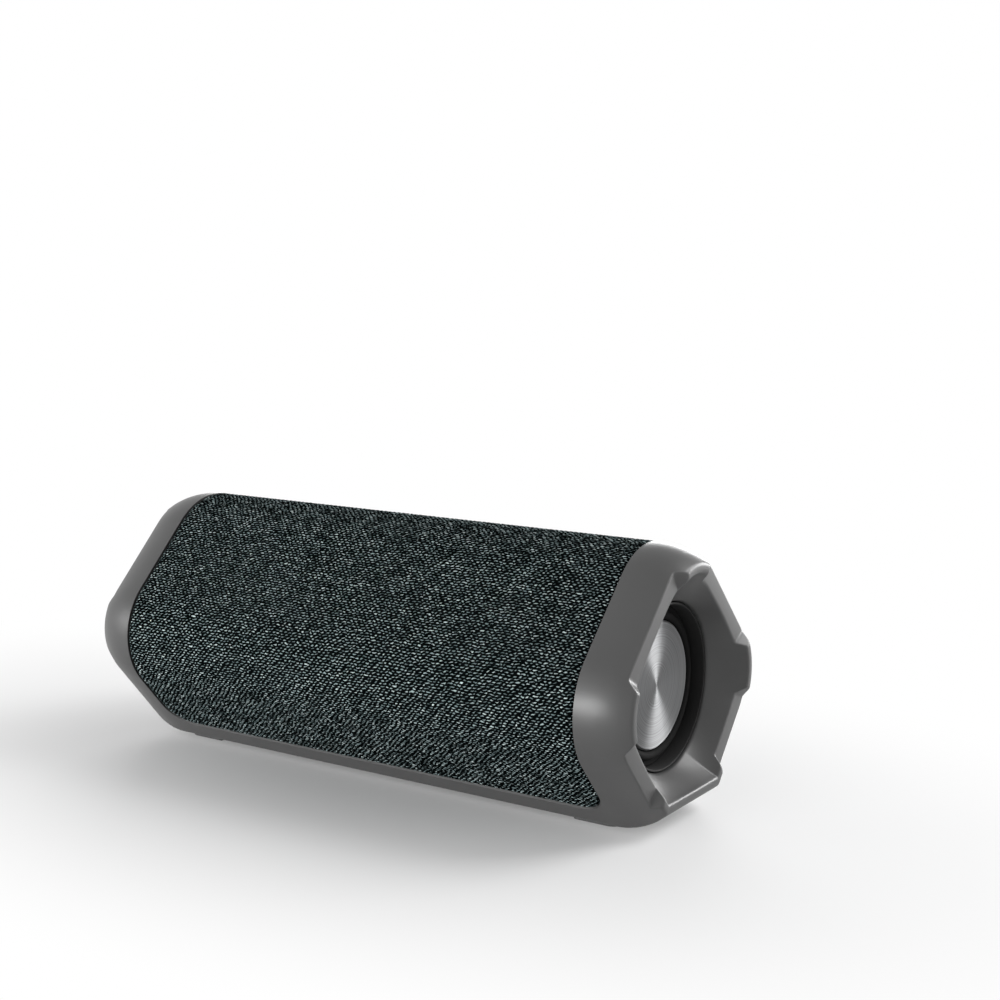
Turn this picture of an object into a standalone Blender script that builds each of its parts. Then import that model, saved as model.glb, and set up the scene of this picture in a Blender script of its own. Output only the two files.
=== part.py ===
"""Portable speaker: a one-piece cradle frame round a cloth-covered, five-sided enclosure.

The length runs along X, the front faces -Y, and Z = 0 is the underside of the two rubber feet.
"left" and "right" are the -X and +X ends, as seen from the front. All sizes are in metres.
"""

import math

import bmesh
import bpy
from mathutils import Matrix, Vector

# Clearance between pieces that touch or seat
FIT = 0.0003

# Five-sided body section, measured on the outer skin above the base plane
BODY_LENGTH = 0.180
BODY_WIDTH = 0.0768
BODY_HEIGHT = 0.0720
BASE_WIDTH = 0.0320
CORNER_RADIUS = 0.0202
CORNER_HEIGHT = 0.0335
RIDGE_RADIUS = 0.0212
BASE_EDGE_RADIUS = 0.0010

# End caps of the frame
CAP_LENGTH = 0.0142
BARREL_RADIUS = 0.0258
END_LIFT = 0.0054
RIM_LIP = 0.0023
RECESS_DEPTH = 0.0024
RECESS_RAMP = 0.0022
RECESS_REACH = 0.0130
UPPER_RECESS_REACH = (0.0018, 0.0040)
LOWER_RECESS_REACH = 0.0030
LOWER_RECESS_LENGTH = 0.0172
THROAT_RADIUS = 0.0225
THROAT_DEPTH = 0.0083
FUNNEL_CURVE = 1.2

# Tray of the frame, between the caps
TRAY_WALL = 0.0030
TRAY_FLOOR = 0.0030
SLEEVE_LIP = 0.0058
SLEEVE_CORNER = 0.0080

# Cloth, the grille shell under it and the enclosure under that
CLOTH_THICKNESS = 0.0009
GRILLE_THICKNESS = 0.0018
GRILLE_SLOT_WIDTH = 0.0024
GRILLE_SLOT_PITCH = 0.0045
GRILLE_SLOTS = 7
ENCLOSURE_WALL = 0.0022
END_PLATE_THICKNESS = 0.0024
SPIGOT_DEPTH = 0.0020
GASKET_THICKNESS = 0.0008

# Feet and the screws that they cover
FOOT_HEIGHT = 0.0012
FOOT_SEAT = 0.0006
FOOT_FROM_END = 0.0142
FOOT_BAR = 0.0055
FOOT_LEG_LENGTH = 0.0082
FOOT_WIDTH = 0.0284
FOOT_CORNER = 0.0040
BASE_SCREW_FROM_END = 0.0235
BASE_SCREW_LENGTH = 0.0055
BASE_SCREW_HEAD_HEIGHT = 0.0009
SCREW_RADIUS = 0.0010
SCREW_HEAD_RADIUS = 0.0019
BOSS_RADIUS = 0.0026
BOSS_HEIGHT = 0.0045

# Passive radiators
RADIATOR_HEIGHT = 0.0342
RADIATOR_RADIUS = 0.0171
RADIATOR_SINK = 0.0033
RADIATOR_PLATE = 0.0012
RADIATOR_CHAMFER = 0.0004
RADIATOR_NECK_RADIUS = 0.0161
RADIATOR_NECK_LENGTH = 0.0022
RADIATOR_WEIGHT_RADIUS = 0.0100
RADIATOR_WEIGHT_THICKNESS = 0.0030
RING_COLLAR = 0.0006
RING_LEDGE = 0.0017
RING_LEDGE_THICKNESS = 0.0008
RUBBER_THICKNESS = 0.0006
SURROUND_LIP = 0.0009

# Drivers behind the front upper wall
DRIVER_FROM_END = 0.0520
DRIVER_SINK = 0.0068
DRIVER_RADIUS = 0.0185
DRIVER_FLANGE = 0.0012
DRIVER_FLANGE_WIDTH = 0.0023
BASKET_DEPTH = 0.0097
BASKET_FOOT_RADIUS = 0.0135
BASKET_WALL = 0.0010
COIL_RADIUS = 0.0062
COIL_WALL = 0.0006
COIL_SLOT_CLEARANCE = 0.0010
CONE_RADIUS = 0.0138
CONE_DROP = 0.0060
CONE_WALL = 0.0005
CAP_RISE = 0.0022
MAGNET_RADIUS = 0.0120
MAGNET_LENGTH = 0.0080
MAGNET_BACK = 0.0020
WELL_WALL = 0.0010
WELL_FLOOR = 0.0022
WELL_TOP = 0.0019

# Control strip on the back corner
STRIP_TILT = math.radians(11.0)
STRIP_FROM_END = 0.0333
STRIP_HALF_WIDTH = 0.0095
STRIP_PROUD = 0.0007
STRIP_LIP = 0.0013
STRIP_FLOOR = 0.0013
FLAP_LENGTH = 0.0317
FLAP_BAR = 0.0018
FLAP_GAP = 0.00035
FLAP_THICKNESS = 0.0020
KEY_NAMES = ("key_plus", "key_play", "key_minus", "key_mode", "key_power")
KEY_GAP = 0.00045
KEY_SPACING = 0.0009
KEY_CORNER = 0.0010
KEY_PROUD = 0.0002
KEY_FLANGE = 0.0006
KEY_FLANGE_THICKNESS = 0.0012
KEY_TRAVEL = 0.0007
WINDOW_CLEARANCE = 0.0006

# Boards, sockets and battery
BOARD_THICKNESS = 0.0016
CONTROL_BOARD_END_GAP = 0.0047
CONTROL_BOARD_WIDTH = 0.0186
SWITCH_WIDTH = 0.0045
SWITCH_PLUNGER_WIDTH = 0.0024
SWITCH_BODY_HEIGHT = 0.0024
SWITCH_HEIGHT = 0.0035
USB_WIDTH = 0.0089
USB_HEIGHT = 0.0032
USB_WALL = 0.00035
USB_DEPTH = 0.0050
USB_TONGUE = 0.0007
USB_TONGUE_SINK = 0.0006
USB_OFFSET = 0.0085
AUX_RADIUS = 0.0031
AUX_BORE_RADIUS = 0.00175
AUX_OFFSET = 0.0205
MAIN_BOARD_LENGTH = 0.0700
MAIN_BOARD_WIDTH = 0.0180
MAIN_BOARD_STANDOFF = 0.0040
MAIN_SCREW_END_GAP = 0.0040
MAIN_SCREW_SIDE_GAP = 0.0028
MAIN_SCREW_LENGTH = 0.0030
MAIN_SCREW_HEAD_HEIGHT = 0.0010
CHIPS = {
    "radio_module": (-0.016, 0.000, 0.0150, 0.0110, 0.0020),
    "amplifier_chip": (0.006, 0.002, 0.0060, 0.0060, 0.0010),
    "power_inductor": (0.019, -0.001, 0.0070, 0.0070, 0.0030),
}
CELL_RADIUS = 0.0092
CELL_LENGTH = 0.0650
CELL_TIP = 0.0008
CELL_TIP_RADIUS = 0.0030
CELL_Y = -0.0030
HOLDER_WALL = 0.0015
HOLDER_WIDTH = 0.0166
HOLDER_TOP_DROP = 0.0023

# Facets
COARSE = (1, 4, 2)
FINE = (2, 8, 5)
CAP_STEPS = 7
FUNNEL_STEPS = 5
FUNNEL_FACET = 0.0060
SLEEVE_CORNER_STEPS = 4
STRIP_STEPS = 10
KEY_STEPS = 4
ROUND_STEPS = 32
HIDDEN_STEPS = 16
SCREW_STEPS = 8
ROLL_STEPS = 3
SMALL_ARC_STEPS = 3
SHARP_ANGLE = math.radians(35.0)

# What cutters pass through a face by, and how near two points count as one
OVERCUT = 0.0020
MERGE_DISTANCE = 0.00001
POINT_DIGITS = 9

# Places that follow from the sizes above
HALF = BODY_LENGTH / 2
SLEEVE_HALF = HALF - CAP_LENGTH
FOOT_END = HALF - FOOT_FROM_END
BASE_SCREW_X = HALF - BASE_SCREW_FROM_END
DRIVER_X = HALF - DRIVER_FROM_END
STRIP_HALF_LENGTH = HALF - STRIP_FROM_END
CORNER = (BODY_WIDTH / 2 - CORNER_RADIUS, FOOT_HEIGHT + CORNER_HEIGHT)
RIDGE = (0.0, FOOT_HEIGHT + BODY_HEIGHT - RIDGE_RADIUS)
BASE_EDGE = (BASE_WIDTH / 2, FOOT_HEIGHT)
RADIATOR_Z = FOOT_HEIGHT + RADIATOR_HEIGHT
THROAT_X = HALF - THROAT_DEPTH
RADIATOR_FACE = THROAT_X - RADIATOR_SINK
GRILLE_INSET = CLOTH_THICKNESS + FIT
ENCLOSURE_INSET = TRAY_WALL + FIT
ENCLOSURE_FLOOR = TRAY_FLOOR + FIT
ENCLOSURE_INSIDE = ENCLOSURE_INSET + ENCLOSURE_WALL
PLATE_OUT = SLEEVE_HALF - FIT
PLATE_IN = PLATE_OUT - END_PLATE_THICKNESS
GASKET_IN = PLATE_IN - FIT - GASKET_THICKNESS
ENCLOSURE_HALF = GASKET_IN - FIT

FINISHES = {
    "grey_plastic": ((0.085, 0.086, 0.087), 0.42, 0.0),
    "cloth": ((0.030, 0.040, 0.041), 0.95, 0.0),
    "black_plastic": ((0.012, 0.012, 0.013), 0.50, 0.0),
    "rubber": ((0.010, 0.010, 0.010), 0.75, 0.0),
    "grey_rubber": ((0.060, 0.061, 0.062), 0.70, 0.0),
    "aluminium": ((0.620, 0.625, 0.630), 0.28, 1.0),
    "steel": ((0.480, 0.490, 0.500), 0.35, 1.0),
    "paper": ((0.020, 0.020, 0.022), 0.85, 0.0),
    "board": ((0.010, 0.090, 0.035), 0.55, 0.0),
    "cell_wrap": ((0.030, 0.120, 0.300), 0.40, 0.0),
}


def clear_scene():
    for old in list(bpy.data.objects):
        bpy.data.objects.remove(old, do_unlink=True)


def new_collection(name):
    collection = bpy.data.collections.new(name)
    bpy.context.scene.collection.children.link(collection)
    return collection


clear_scene()
PARTS = new_collection("portable_speaker")
CUTTERS = new_collection("cutters")


# Objects, finishes and modifiers
def new_object(name, bm, place=None):
    mesh = bpy.data.meshes.new(name)
    bm.to_mesh(mesh)
    bm.free()
    mesh.shade_smooth()
    mesh.set_sharp_from_angle(angle=SHARP_ANGLE)
    obj = bpy.data.objects.new(name, mesh)
    PARTS.objects.link(obj)
    if place is not None:
        obj.matrix_world = place
    return obj


def finish(obj, kind):
    colour, roughness, metallic = FINISHES[kind]
    material = bpy.data.materials.new(obj.name)
    material.use_nodes = True
    shader = material.node_tree.nodes["Principled BSDF"]
    shader.inputs["Base Color"].default_value = (*colour, 1.0)
    shader.inputs["Roughness"].default_value = roughness
    shader.inputs["Metallic"].default_value = metallic
    obj.data.materials.append(material)
    return obj


def boolean(obj, tools, operation):
    """One boolean with all the tools at once; the tools move to the cutters and are hidden."""
    group = bpy.data.collections.new(f"{obj.name}_{operation.lower()}")
    CUTTERS.children.link(group)
    for tool in tools:
        PARTS.objects.unlink(tool)
        group.objects.link(tool)
        tool.hide_render = True
        tool.display_type = "WIRE"
    modifier = obj.modifiers.new(operation.lower(), "BOOLEAN")
    modifier.operation = operation
    modifier.solver = "EXACT"
    modifier.operand_type = "COLLECTION"
    modifier.collection = group
    return obj


def cut(obj, *tools):
    return boolean(obj, tools, "DIFFERENCE")


def join(obj, *tools):
    return boolean(obj, tools, "UNION")


def solidify(obj, thickness):
    """Thickens an open surface towards the side that its normals point away from."""
    modifier = obj.modifiers.new("thickness", "SOLIDIFY")
    modifier.thickness = thickness
    modifier.offset = -1.0
    modifier.use_even_offset = True
    return obj


def set_origin(obj, point):
    """Puts the object's origin at a point of the frame, with its mesh left where it is."""
    obj.data.transform(Matrix.Translation(-Vector(point)))
    obj.location = point
    return obj


# Basic solids
def loft(name, rings, place=None):
    """Closed skin through rings of equal point counts, with points that should be equal made so."""
    bm = bmesh.new()
    loops = [[bm.verts.new([round(c, POINT_DIGITS) for c in point]) for point in ring] for ring in rings]
    for low, high in zip(loops, loops[1:]):
        for i in range(len(low)):
            j = (i + 1) % len(low)
            bm.faces.new((low[i], low[j], high[j], high[i]))
    bm.faces.new(loops[0])
    bm.faces.new(loops[-1])
    bmesh.ops.recalc_face_normals(bm, faces=bm.faces)
    return new_object(name, bm, place)


def box(name, low, high, place=None):
    size = Vector(high) - Vector(low)
    centre = (Vector(high) + Vector(low)) / 2
    bm = bmesh.new()
    bmesh.ops.create_cube(bm, size=1.0, matrix=Matrix.Translation(centre) @ Matrix.Diagonal((*size, 1.0)))
    return new_object(name, bm, place)


def cylinder(name, radius, low, high, place, steps=HIDDEN_STEPS):
    """Cylinder along the Z axis of a placement."""
    bm = bmesh.new()
    bmesh.ops.create_cone(bm, cap_ends=True, segments=steps, radius1=radius, radius2=radius, depth=high - low,
                          matrix=Matrix.Translation((0, 0, (low + high) / 2)))
    return new_object(name, bm, place)


def turned(name, profile, place, steps, closed=True):
    """Revolves (radius, height) points about local Z; a profile runs down its outer side."""
    bm = bmesh.new()
    points = [bm.verts.new((radius, 0.0, height)) for radius, height in profile]
    for a, b in zip(points, points[1:]):
        bm.edges.new((a, b))
    if closed:
        bm.edges.new((points[-1], points[0]))
    obj = new_object(name, bm, place)
    spin = obj.modifiers.new("turn", "SCREW")
    spin.axis = "Z"
    spin.steps = steps
    spin.render_steps = steps
    spin.use_merge_vertices = True
    spin.merge_threshold = MERGE_DISTANCE
    return obj


def screw(name, place, head_height, length):
    """Pan-head screw with its head's seat at local Z = 0 and its shank along +Z."""
    profile = [(0.0, length), (SCREW_RADIUS, length), (SCREW_RADIUS, 0.0), (SCREW_HEAD_RADIUS, 0.0),
               (SCREW_HEAD_RADIUS, -head_height), (0.0, -head_height)]
    return finish(turned(name, profile, place, SCREW_STEPS, closed=False), "steel")


# The five-sided section
def wall_normals():
    """Angles, in the Y-Z plane, of the outward normals of the lower and the upper back wall."""
    to_base = Vector(BASE_EDGE) - Vector(CORNER)
    to_ridge = Vector(RIDGE) - Vector(CORNER)
    lower = math.atan2(to_base.y, to_base.x) + math.acos(CORNER_RADIUS / to_base.length)
    upper = math.atan2(to_ridge.y, to_ridge.x)
    upper -= math.acos((CORNER_RADIUS - RIDGE_RADIUS) / to_ridge.length)
    return lower, upper


LOWER, UPPER = wall_normals()


def arc(centre, radius, start, end, steps):
    turn = [start + (end - start) * k / steps for k in range(steps + 1)]
    return [(centre[0] + radius * math.cos(a), centre[1] + radius * math.sin(a)) for a in turn]


def mirrored(back):
    """Adds the front half to the back half of a section that ends on the ridge."""
    return back + [(-point[0], *point[1:]) for point in reversed(back[:-1])]


def section(inset, floor, facets=COARSE):
    """Closed (y, z) outline, inset from the outer skin and with its base at a height over the base plane."""
    edge_steps, corner_steps, ridge_steps = facets
    edge_rise = floor + BASE_EDGE_RADIUS
    edge_in = (inset + BASE_EDGE_RADIUS + math.sin(LOWER) * edge_rise) / math.cos(LOWER)
    edge = (BASE_EDGE[0] - edge_in, BASE_EDGE[1] + edge_rise)
    back = arc(edge, BASE_EDGE_RADIUS, -math.pi / 2, LOWER, edge_steps)
    back += arc(CORNER, CORNER_RADIUS - inset, LOWER, UPPER, corner_steps)
    back += arc(RIDGE, RIDGE_RADIUS - inset, UPPER, math.pi / 2, ridge_steps)
    return mirrored(back)


def at_x(x, outline):
    return [(x, y, z) for y, z in outline]


def split_long(outline, longest):
    """Adds points to an outline's edges that are longer than a length."""
    result = []
    for (y0, z0), (y1, z1) in zip(outline, outline[1:] + outline[:1]):
        count = max(1, math.ceil(math.hypot(y1 - y0, z1 - z0) / longest))
        result += [(y0 + (y1 - y0) * k / count, z0 + (z1 - z0) * k / count) for k in range(count)]
    return result


def prism(name, inset, floor, start, end, facets=COARSE):
    outline = section(inset, floor, facets)
    return loft(name, [at_x(start, outline), at_x(end, outline)])


def tube(name, inset, floor, wall, start, end):
    """Open-ended shell of the section."""
    low, high = sorted((start, end))
    shell = prism(name, inset, floor, low, high)
    return cut(shell, prism("bore", inset + wall, floor + wall, low - OVERCUT, high + OVERCUT))


def wall_frame(x, spot, angle):
    """Placement at a (y, z) spot, with Z along the outward normal at an angle and X along the body."""
    normal = Vector((0, math.cos(angle), math.sin(angle)))
    across = Vector((0, math.sin(angle), -math.cos(angle)))
    place = Matrix((Vector((1, 0, 0)), across, normal)).transposed().to_4x4()
    place.translation = (x, *spot)
    return place


# Frame: base tray and end caps in one moulding
def cap_inset(x):
    over = max(0.0, abs(x) - SLEEVE_HALF)
    return BARREL_RADIUS - math.sqrt(BARREL_RADIUS ** 2 - over ** 2)


def cap_floor(x):
    radius = (CAP_LENGTH ** 2 + END_LIFT ** 2) / (2 * END_LIFT)
    over = max(0.0, abs(x) - SLEEVE_HALF)
    return radius - math.sqrt(radius ** 2 - over ** 2)


def frame_skin():
    turns = [math.pi / 2 * k / CAP_STEPS for k in range(1, CAP_STEPS + 1)]
    reach = [SLEEVE_HALF - FIT] + [SLEEVE_HALF + CAP_LENGTH * math.sin(turn) for turn in turns]
    stations = [-x for x in reversed(reach)] + reach
    return loft("frame", [at_x(x, section(cap_inset(x), cap_floor(x), FINE)) for x in stations])


def funnel(side):
    """Cutter for an end cap's mouth, from the five-sided rim down to the round throat and through."""
    rim = split_long(section(cap_inset(HALF) + RIM_LIP, END_LIFT + RIM_LIP, FINE), FUNNEL_FACET)

    def ring(x, blend):
        points = []
        for y, z in rim:
            out = Vector((y, z - RADIATOR_Z))
            point = out.lerp(out.normalized() * THROAT_RADIUS, blend)
            points.append((side * x, point.x, point.y + RADIATOR_Z))
        return points

    steps = [k / FUNNEL_STEPS for k in range(FUNNEL_STEPS + 1)]
    rings = [ring(HALF + OVERCUT, 0.0)]
    rings += [ring(HALF - THROAT_DEPTH * t, t ** FUNNEL_CURVE) for t in steps]
    rings += [ring(SLEEVE_HALF - OVERCUT, 1.0)]
    return loft("funnel", rings)


def recess(end, side, angle, start, length):
    """Cutter for a shallow cut-out in the rim, along one wall, with sloping ends.

    The wall is the back one whose normal is at the angle, or the front one for side -1. start and length
    run along the wall from where the corner's arc ends, away from the corner.
    """
    turn = 1.0 if angle > 0 else -1.0
    along = Vector((-math.sin(angle), math.cos(angle))) * turn
    normal = Vector((math.cos(angle), math.sin(angle)))
    tangent = Vector(CORNER) + normal * CORNER_RADIUS

    def ring(rise):
        run = RECESS_RAMP * rise / RECESS_DEPTH
        corners = ((start - run, OVERCUT), (start + length + run, OVERCUT),
                   (start + length + run, -RECESS_REACH), (start - run, -RECESS_REACH))
        spots = [tangent + along * s + normal * d for s, d in corners]
        return [(end * (HALF - RECESS_DEPTH + rise), side * spot.x, spot.y) for spot in spots]

    return loft("recess", [ring(0.0), ring(RECESS_DEPTH + OVERCUT)])


def sleeve_rows(inset, margin):
    """(y, z, shortening) rows of the cloth-covered skin, from the back lip over the ridge to the front lip."""
    radius = SLEEVE_CORNER - margin
    normal = Vector((math.cos(LOWER), math.sin(LOWER)))
    up = Vector((-normal.y, normal.x))
    back = []
    for k in range(SLEEVE_CORNER_STEPS + 1):
        turn = math.pi / 2 * k / SLEEVE_CORNER_STEPS
        rise = SLEEVE_LIP + margin + radius * (1 - math.cos(turn))
        spot = Vector(BASE_EDGE) + up * rise - normal * inset
        back.append((spot.x, spot.y, radius * (1 - math.sin(turn))))
    skin = arc(CORNER, CORNER_RADIUS - inset, LOWER, UPPER, FINE[1])
    skin += arc(RIDGE, RIDGE_RADIUS - inset, UPPER, math.pi / 2, FINE[2])
    return mirrored(back + [(y, z, 0.0) for y, z in skin])


def sleeve(name, inset, thickness, margin):
    """Shell over the front, top and back, with rounded lower corners."""
    rings = []
    for (y, z, shortening), (inner_y, inner_z, _) in zip(
            sleeve_rows(inset, margin), sleeve_rows(inset + thickness, margin)):
        reach = SLEEVE_HALF - margin - shortening
        rings.append([(-reach, y, z), (reach, y, z), (reach, inner_y, inner_z), (-reach, inner_y, inner_z)])
    return loft(name, rings)


def foot_outline(end, margin):
    """U-shaped outline with its opening towards the middle of the body."""
    radius = FOOT_CORNER + margin
    outer_x, outer_y = FOOT_END + margin, FOOT_WIDTH / 2 + margin
    bar_x, tip_x = FOOT_END - FOOT_BAR - margin, FOOT_END - FOOT_BAR - FOOT_LEG_LENGTH - margin
    inner_y = FOOT_WIDTH / 2 - FOOT_BAR - margin
    half = [(bar_x, inner_y), (tip_x, inner_y), (tip_x, outer_y)]
    half += arc((outer_x - radius, outer_y - radius), radius, math.pi / 2, 0.0, SMALL_ARC_STEPS)
    outline = half + [(x, -y) for x, y in reversed(half)]
    return [(end * x, y) for x, y in outline]


def foot(name, end, low, high, margin=0.0):
    outline = foot_outline(end, margin)
    return loft(name, [[(x, y, z) for x, y in outline] for z in (low, high)])


def base_screw_places():
    """Placements of the screws under the feet, seated on the floor of their counterbores."""
    y = FOOT_WIDTH / 2 - FOOT_BAR / 2
    z = FOOT_HEIGHT + FOOT_SEAT + FIT + BASE_SCREW_HEAD_HEIGHT
    return [Matrix.Translation((sx * BASE_SCREW_X, sy * y, z)) for sx in (-1, 1) for sy in (-1, 1)]


def make_frame():
    room_end = SLEEVE_HALF + FIT
    rooms = [sleeve("sleeve_room", -2 * OVERCUT, TRAY_WALL + 3 * OVERCUT, 0.0),
             prism("enclosure_room", TRAY_WALL, TRAY_FLOOR, -room_end, room_end)]
    flat = math.sqrt((Vector(RIDGE) - Vector(CORNER)).length_squared - (CORNER_RADIUS - RIDGE_RADIUS) ** 2)
    for end in (-1, 1):
        rooms.append(funnel(end))
        for side in (-1, 1):
            below, above = UPPER_RECESS_REACH
            rooms.append(recess(end, side, UPPER, -below, below + flat + above))
            rooms.append(recess(end, side, LOWER, -LOWER_RECESS_REACH, LOWER_RECESS_REACH + LOWER_RECESS_LENGTH))
        rooms.append(foot("foot_groove", end, FOOT_HEIGHT - OVERCUT, FOOT_HEIGHT + FOOT_SEAT + FIT, FIT))
    for place in base_screw_places():
        rooms.append(cylinder("screw_head_room", SCREW_HEAD_RADIUS + FIT, -BASE_SCREW_HEAD_HEIGHT - OVERCUT,
                              FIT, place, SCREW_STEPS))
        rooms.append(cylinder("screw_room", SCREW_RADIUS + FIT, 0.0, BASE_SCREW_LENGTH, place, SCREW_STEPS))
    finish(cut(frame_skin(), *rooms), "grey_plastic")


def make_feet():
    for name, end in (("foot_left", -1), ("foot_right", 1)):
        finish(foot(name, end, 0.0, FOOT_HEIGHT + FOOT_SEAT), "grey_rubber")
    for number, place in enumerate(base_screw_places(), start=1):
        screw(f"base_screw_{number}", place, BASE_SCREW_HEAD_HEIGHT, BASE_SCREW_LENGTH)


# Control strip: pieces wrapped round the back corner
STRIP_SPOT = tuple(Vector(CORNER) + CORNER_RADIUS * Vector((math.cos(STRIP_TILT), math.sin(STRIP_TILT))))
STRIP = wall_frame(0.0, STRIP_SPOT, STRIP_TILT)
PANEL_UNDER = -TRAY_WALL
POCKET_FLOOR = PANEL_UNDER + STRIP_FLOOR
OPEN_HALF_WIDTH = STRIP_HALF_WIDTH - STRIP_LIP
FLAP_START = -STRIP_HALF_LENGTH + STRIP_LIP
FLAP_END = FLAP_START + FLAP_LENGTH
KEYS_START = FLAP_END + FLAP_BAR
KEYS_END = STRIP_HALF_LENGTH - STRIP_LIP
KEY_LENGTH = (KEYS_END - KEYS_START - 2 * KEY_GAP - (len(KEY_NAMES) - 1) * KEY_SPACING) / len(KEY_NAMES)
KEY_UNDER = PANEL_UNDER - FIT - KEY_FLANGE_THICKNESS
SWITCH_TOP = KEY_UNDER - KEY_TRAVEL - FIT
BOARD_TOP = SWITCH_TOP - SWITCH_HEIGHT - FIT


def wrapped(name, rows, low, high):
    """Plate wrapped round the corner: rows are (distance round the corner, x start, x end)."""
    rings = []
    for s, x0, x1 in rows:
        turn = STRIP_TILT + s / CORNER_RADIUS
        ring = []
        for x, rise in ((x0, low), (x1, low), (x1, high), (x0, high)):
            radius = CORNER_RADIUS + rise
            ring.append((x, CORNER[0] + radius * math.cos(turn), CORNER[1] + radius * math.sin(turn)))
        rings.append(ring)
    return loft(name, rings)


def stadium_rows(start, end, half_width, round_start, round_end):
    """Rows of a strip with round or square ends."""
    rows = []
    for k in range(STRIP_STEPS + 1):
        turn = -math.pi / 2 + math.pi * k / STRIP_STEPS
        shrink = half_width * (1 - math.cos(turn))
        rows.append((half_width * math.sin(turn), start + shrink * round_start, end - shrink * round_end))
    return rows


def key_rows(start, end, half_width, corner):
    """Rows of a rectangle with small round corners."""
    straight = half_width - corner
    rows = []
    for k in range(KEY_STEPS + 1):
        s = straight * (2 * k / KEY_STEPS - 1)
        rows.append((s, start, end))
    tip = corner * (1 - math.sqrt(0.5))
    for rise, shrink in ((corner * math.sqrt(0.5), tip), (corner, corner)):
        rows.insert(0, (-straight - rise, start + shrink, end - shrink))
        rows.append((straight + rise, start + shrink, end - shrink))
    return rows


def key_spans():
    """(name, x start, x end, round end) of each key."""
    for i, name in enumerate(KEY_NAMES):
        start = KEYS_START + KEY_GAP + i * (KEY_LENGTH + KEY_SPACING)
        yield name, start, start + KEY_LENGTH, i == len(KEY_NAMES) - 1


def strip_outline(margin):
    reach = STRIP_HALF_LENGTH + margin
    return stadium_rows(-reach, reach, STRIP_HALF_WIDTH + margin, 1, 1)


def make_keys():
    for name, start, end, last in key_spans():
        half_width = OPEN_HALF_WIDTH - KEY_GAP
        flange = half_width + KEY_FLANGE
        if last:
            cap_rows = stadium_rows(start, end, half_width, 0, 1)
            flange_rows = stadium_rows(start, end + KEY_FLANGE, flange, 0, 1)
        else:
            cap_rows = key_rows(start, end, half_width, KEY_CORNER)
            flange_rows = key_rows(start, end, flange, KEY_CORNER)
        key = wrapped(name, cap_rows, KEY_UNDER + KEY_FLANGE_THICKNESS / 2, STRIP_PROUD + KEY_PROUD)
        join(key, wrapped("key_flange", flange_rows, KEY_UNDER, KEY_UNDER + KEY_FLANGE_THICKNESS))
        finish(set_origin(key, STRIP @ Vector(((start + end) / 2, 0.0, STRIP_PROUD))), "grey_plastic")


def usb_outline(x, width, height, z):
    radius = height / 2
    flat = width / 2 - radius
    ring = arc((x + flat, 0.0), radius, -math.pi / 2, math.pi / 2, SMALL_ARC_STEPS)
    ring += arc((x - flat, 0.0), radius, math.pi / 2, 3 * math.pi / 2, SMALL_ARC_STEPS)
    return [(px, py, z) for px, py in ring]


def usb_body(name, width, height, low, high):
    x = FLAP_END - USB_OFFSET
    return loft(name, [usb_outline(x, width, height, z) for z in (low, high)], STRIP)


def make_sockets():
    board_top = BOARD_TOP + FIT
    front = POCKET_FLOOR
    usb = usb_body("usb_port", USB_WIDTH, USB_HEIGHT, board_top, front)
    inner = (USB_WIDTH - 2 * USB_WALL, USB_HEIGHT - 2 * USB_WALL)
    cut(usb, usb_body("usb_mouth", *inner, front - USB_DEPTH, front + OVERCUT))
    tongue_x = FLAP_END - USB_OFFSET
    reach = inner[0] / 2 - inner[1] / 2
    join(usb, box("usb_tongue", (tongue_x - reach, -USB_TONGUE / 2, board_top + FIT),
                  (tongue_x + reach, USB_TONGUE / 2, front - USB_TONGUE_SINK), STRIP))
    finish(usb, "steel")
    aux_place = STRIP @ Matrix.Translation((FLAP_END - AUX_OFFSET, 0, 0))
    profile = [(AUX_RADIUS, front), (AUX_RADIUS, board_top),
               (AUX_BORE_RADIUS, board_top), (AUX_BORE_RADIUS, front)]
    finish(turned("aux_jack", profile, aux_place, HIDDEN_STEPS), "black_plastic")


def make_control_strip():
    panel = finish(wrapped("control_panel", strip_outline(0.0), PANEL_UNDER, STRIP_PROUD), "grey_plastic")
    key_window = stadium_rows(KEYS_START, KEYS_END, OPEN_HALF_WIDTH, 0, 1)
    pocket = stadium_rows(FLAP_START, FLAP_END, OPEN_HALF_WIDTH, 1, 0)
    under, over = PANEL_UNDER - OVERCUT, STRIP_PROUD + OVERCUT
    cut(panel, wrapped("key_window", key_window, under, over),
        wrapped("flap_pocket", pocket, POCKET_FLOOR, over),
        usb_body("usb_room", USB_WIDTH + 2 * FIT, USB_HEIGHT + 2 * FIT, under, 0.0),
        cylinder("aux_room", AUX_RADIUS + FIT, under, 0.0,
                 STRIP @ Matrix.Translation((FLAP_END - AUX_OFFSET, 0, 0))))
    lid = stadium_rows(FLAP_START + FLAP_GAP, FLAP_END - FLAP_GAP, OPEN_HALF_WIDTH - FLAP_GAP, 1, 0)
    flap = wrapped("port_flap", lid, STRIP_PROUD - FLAP_THICKNESS, STRIP_PROUD)
    finish(set_origin(flap, STRIP @ Vector((FLAP_END - FLAP_GAP, 0.0, STRIP_PROUD))), "grey_plastic")
    make_keys()
    make_sockets()


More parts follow.
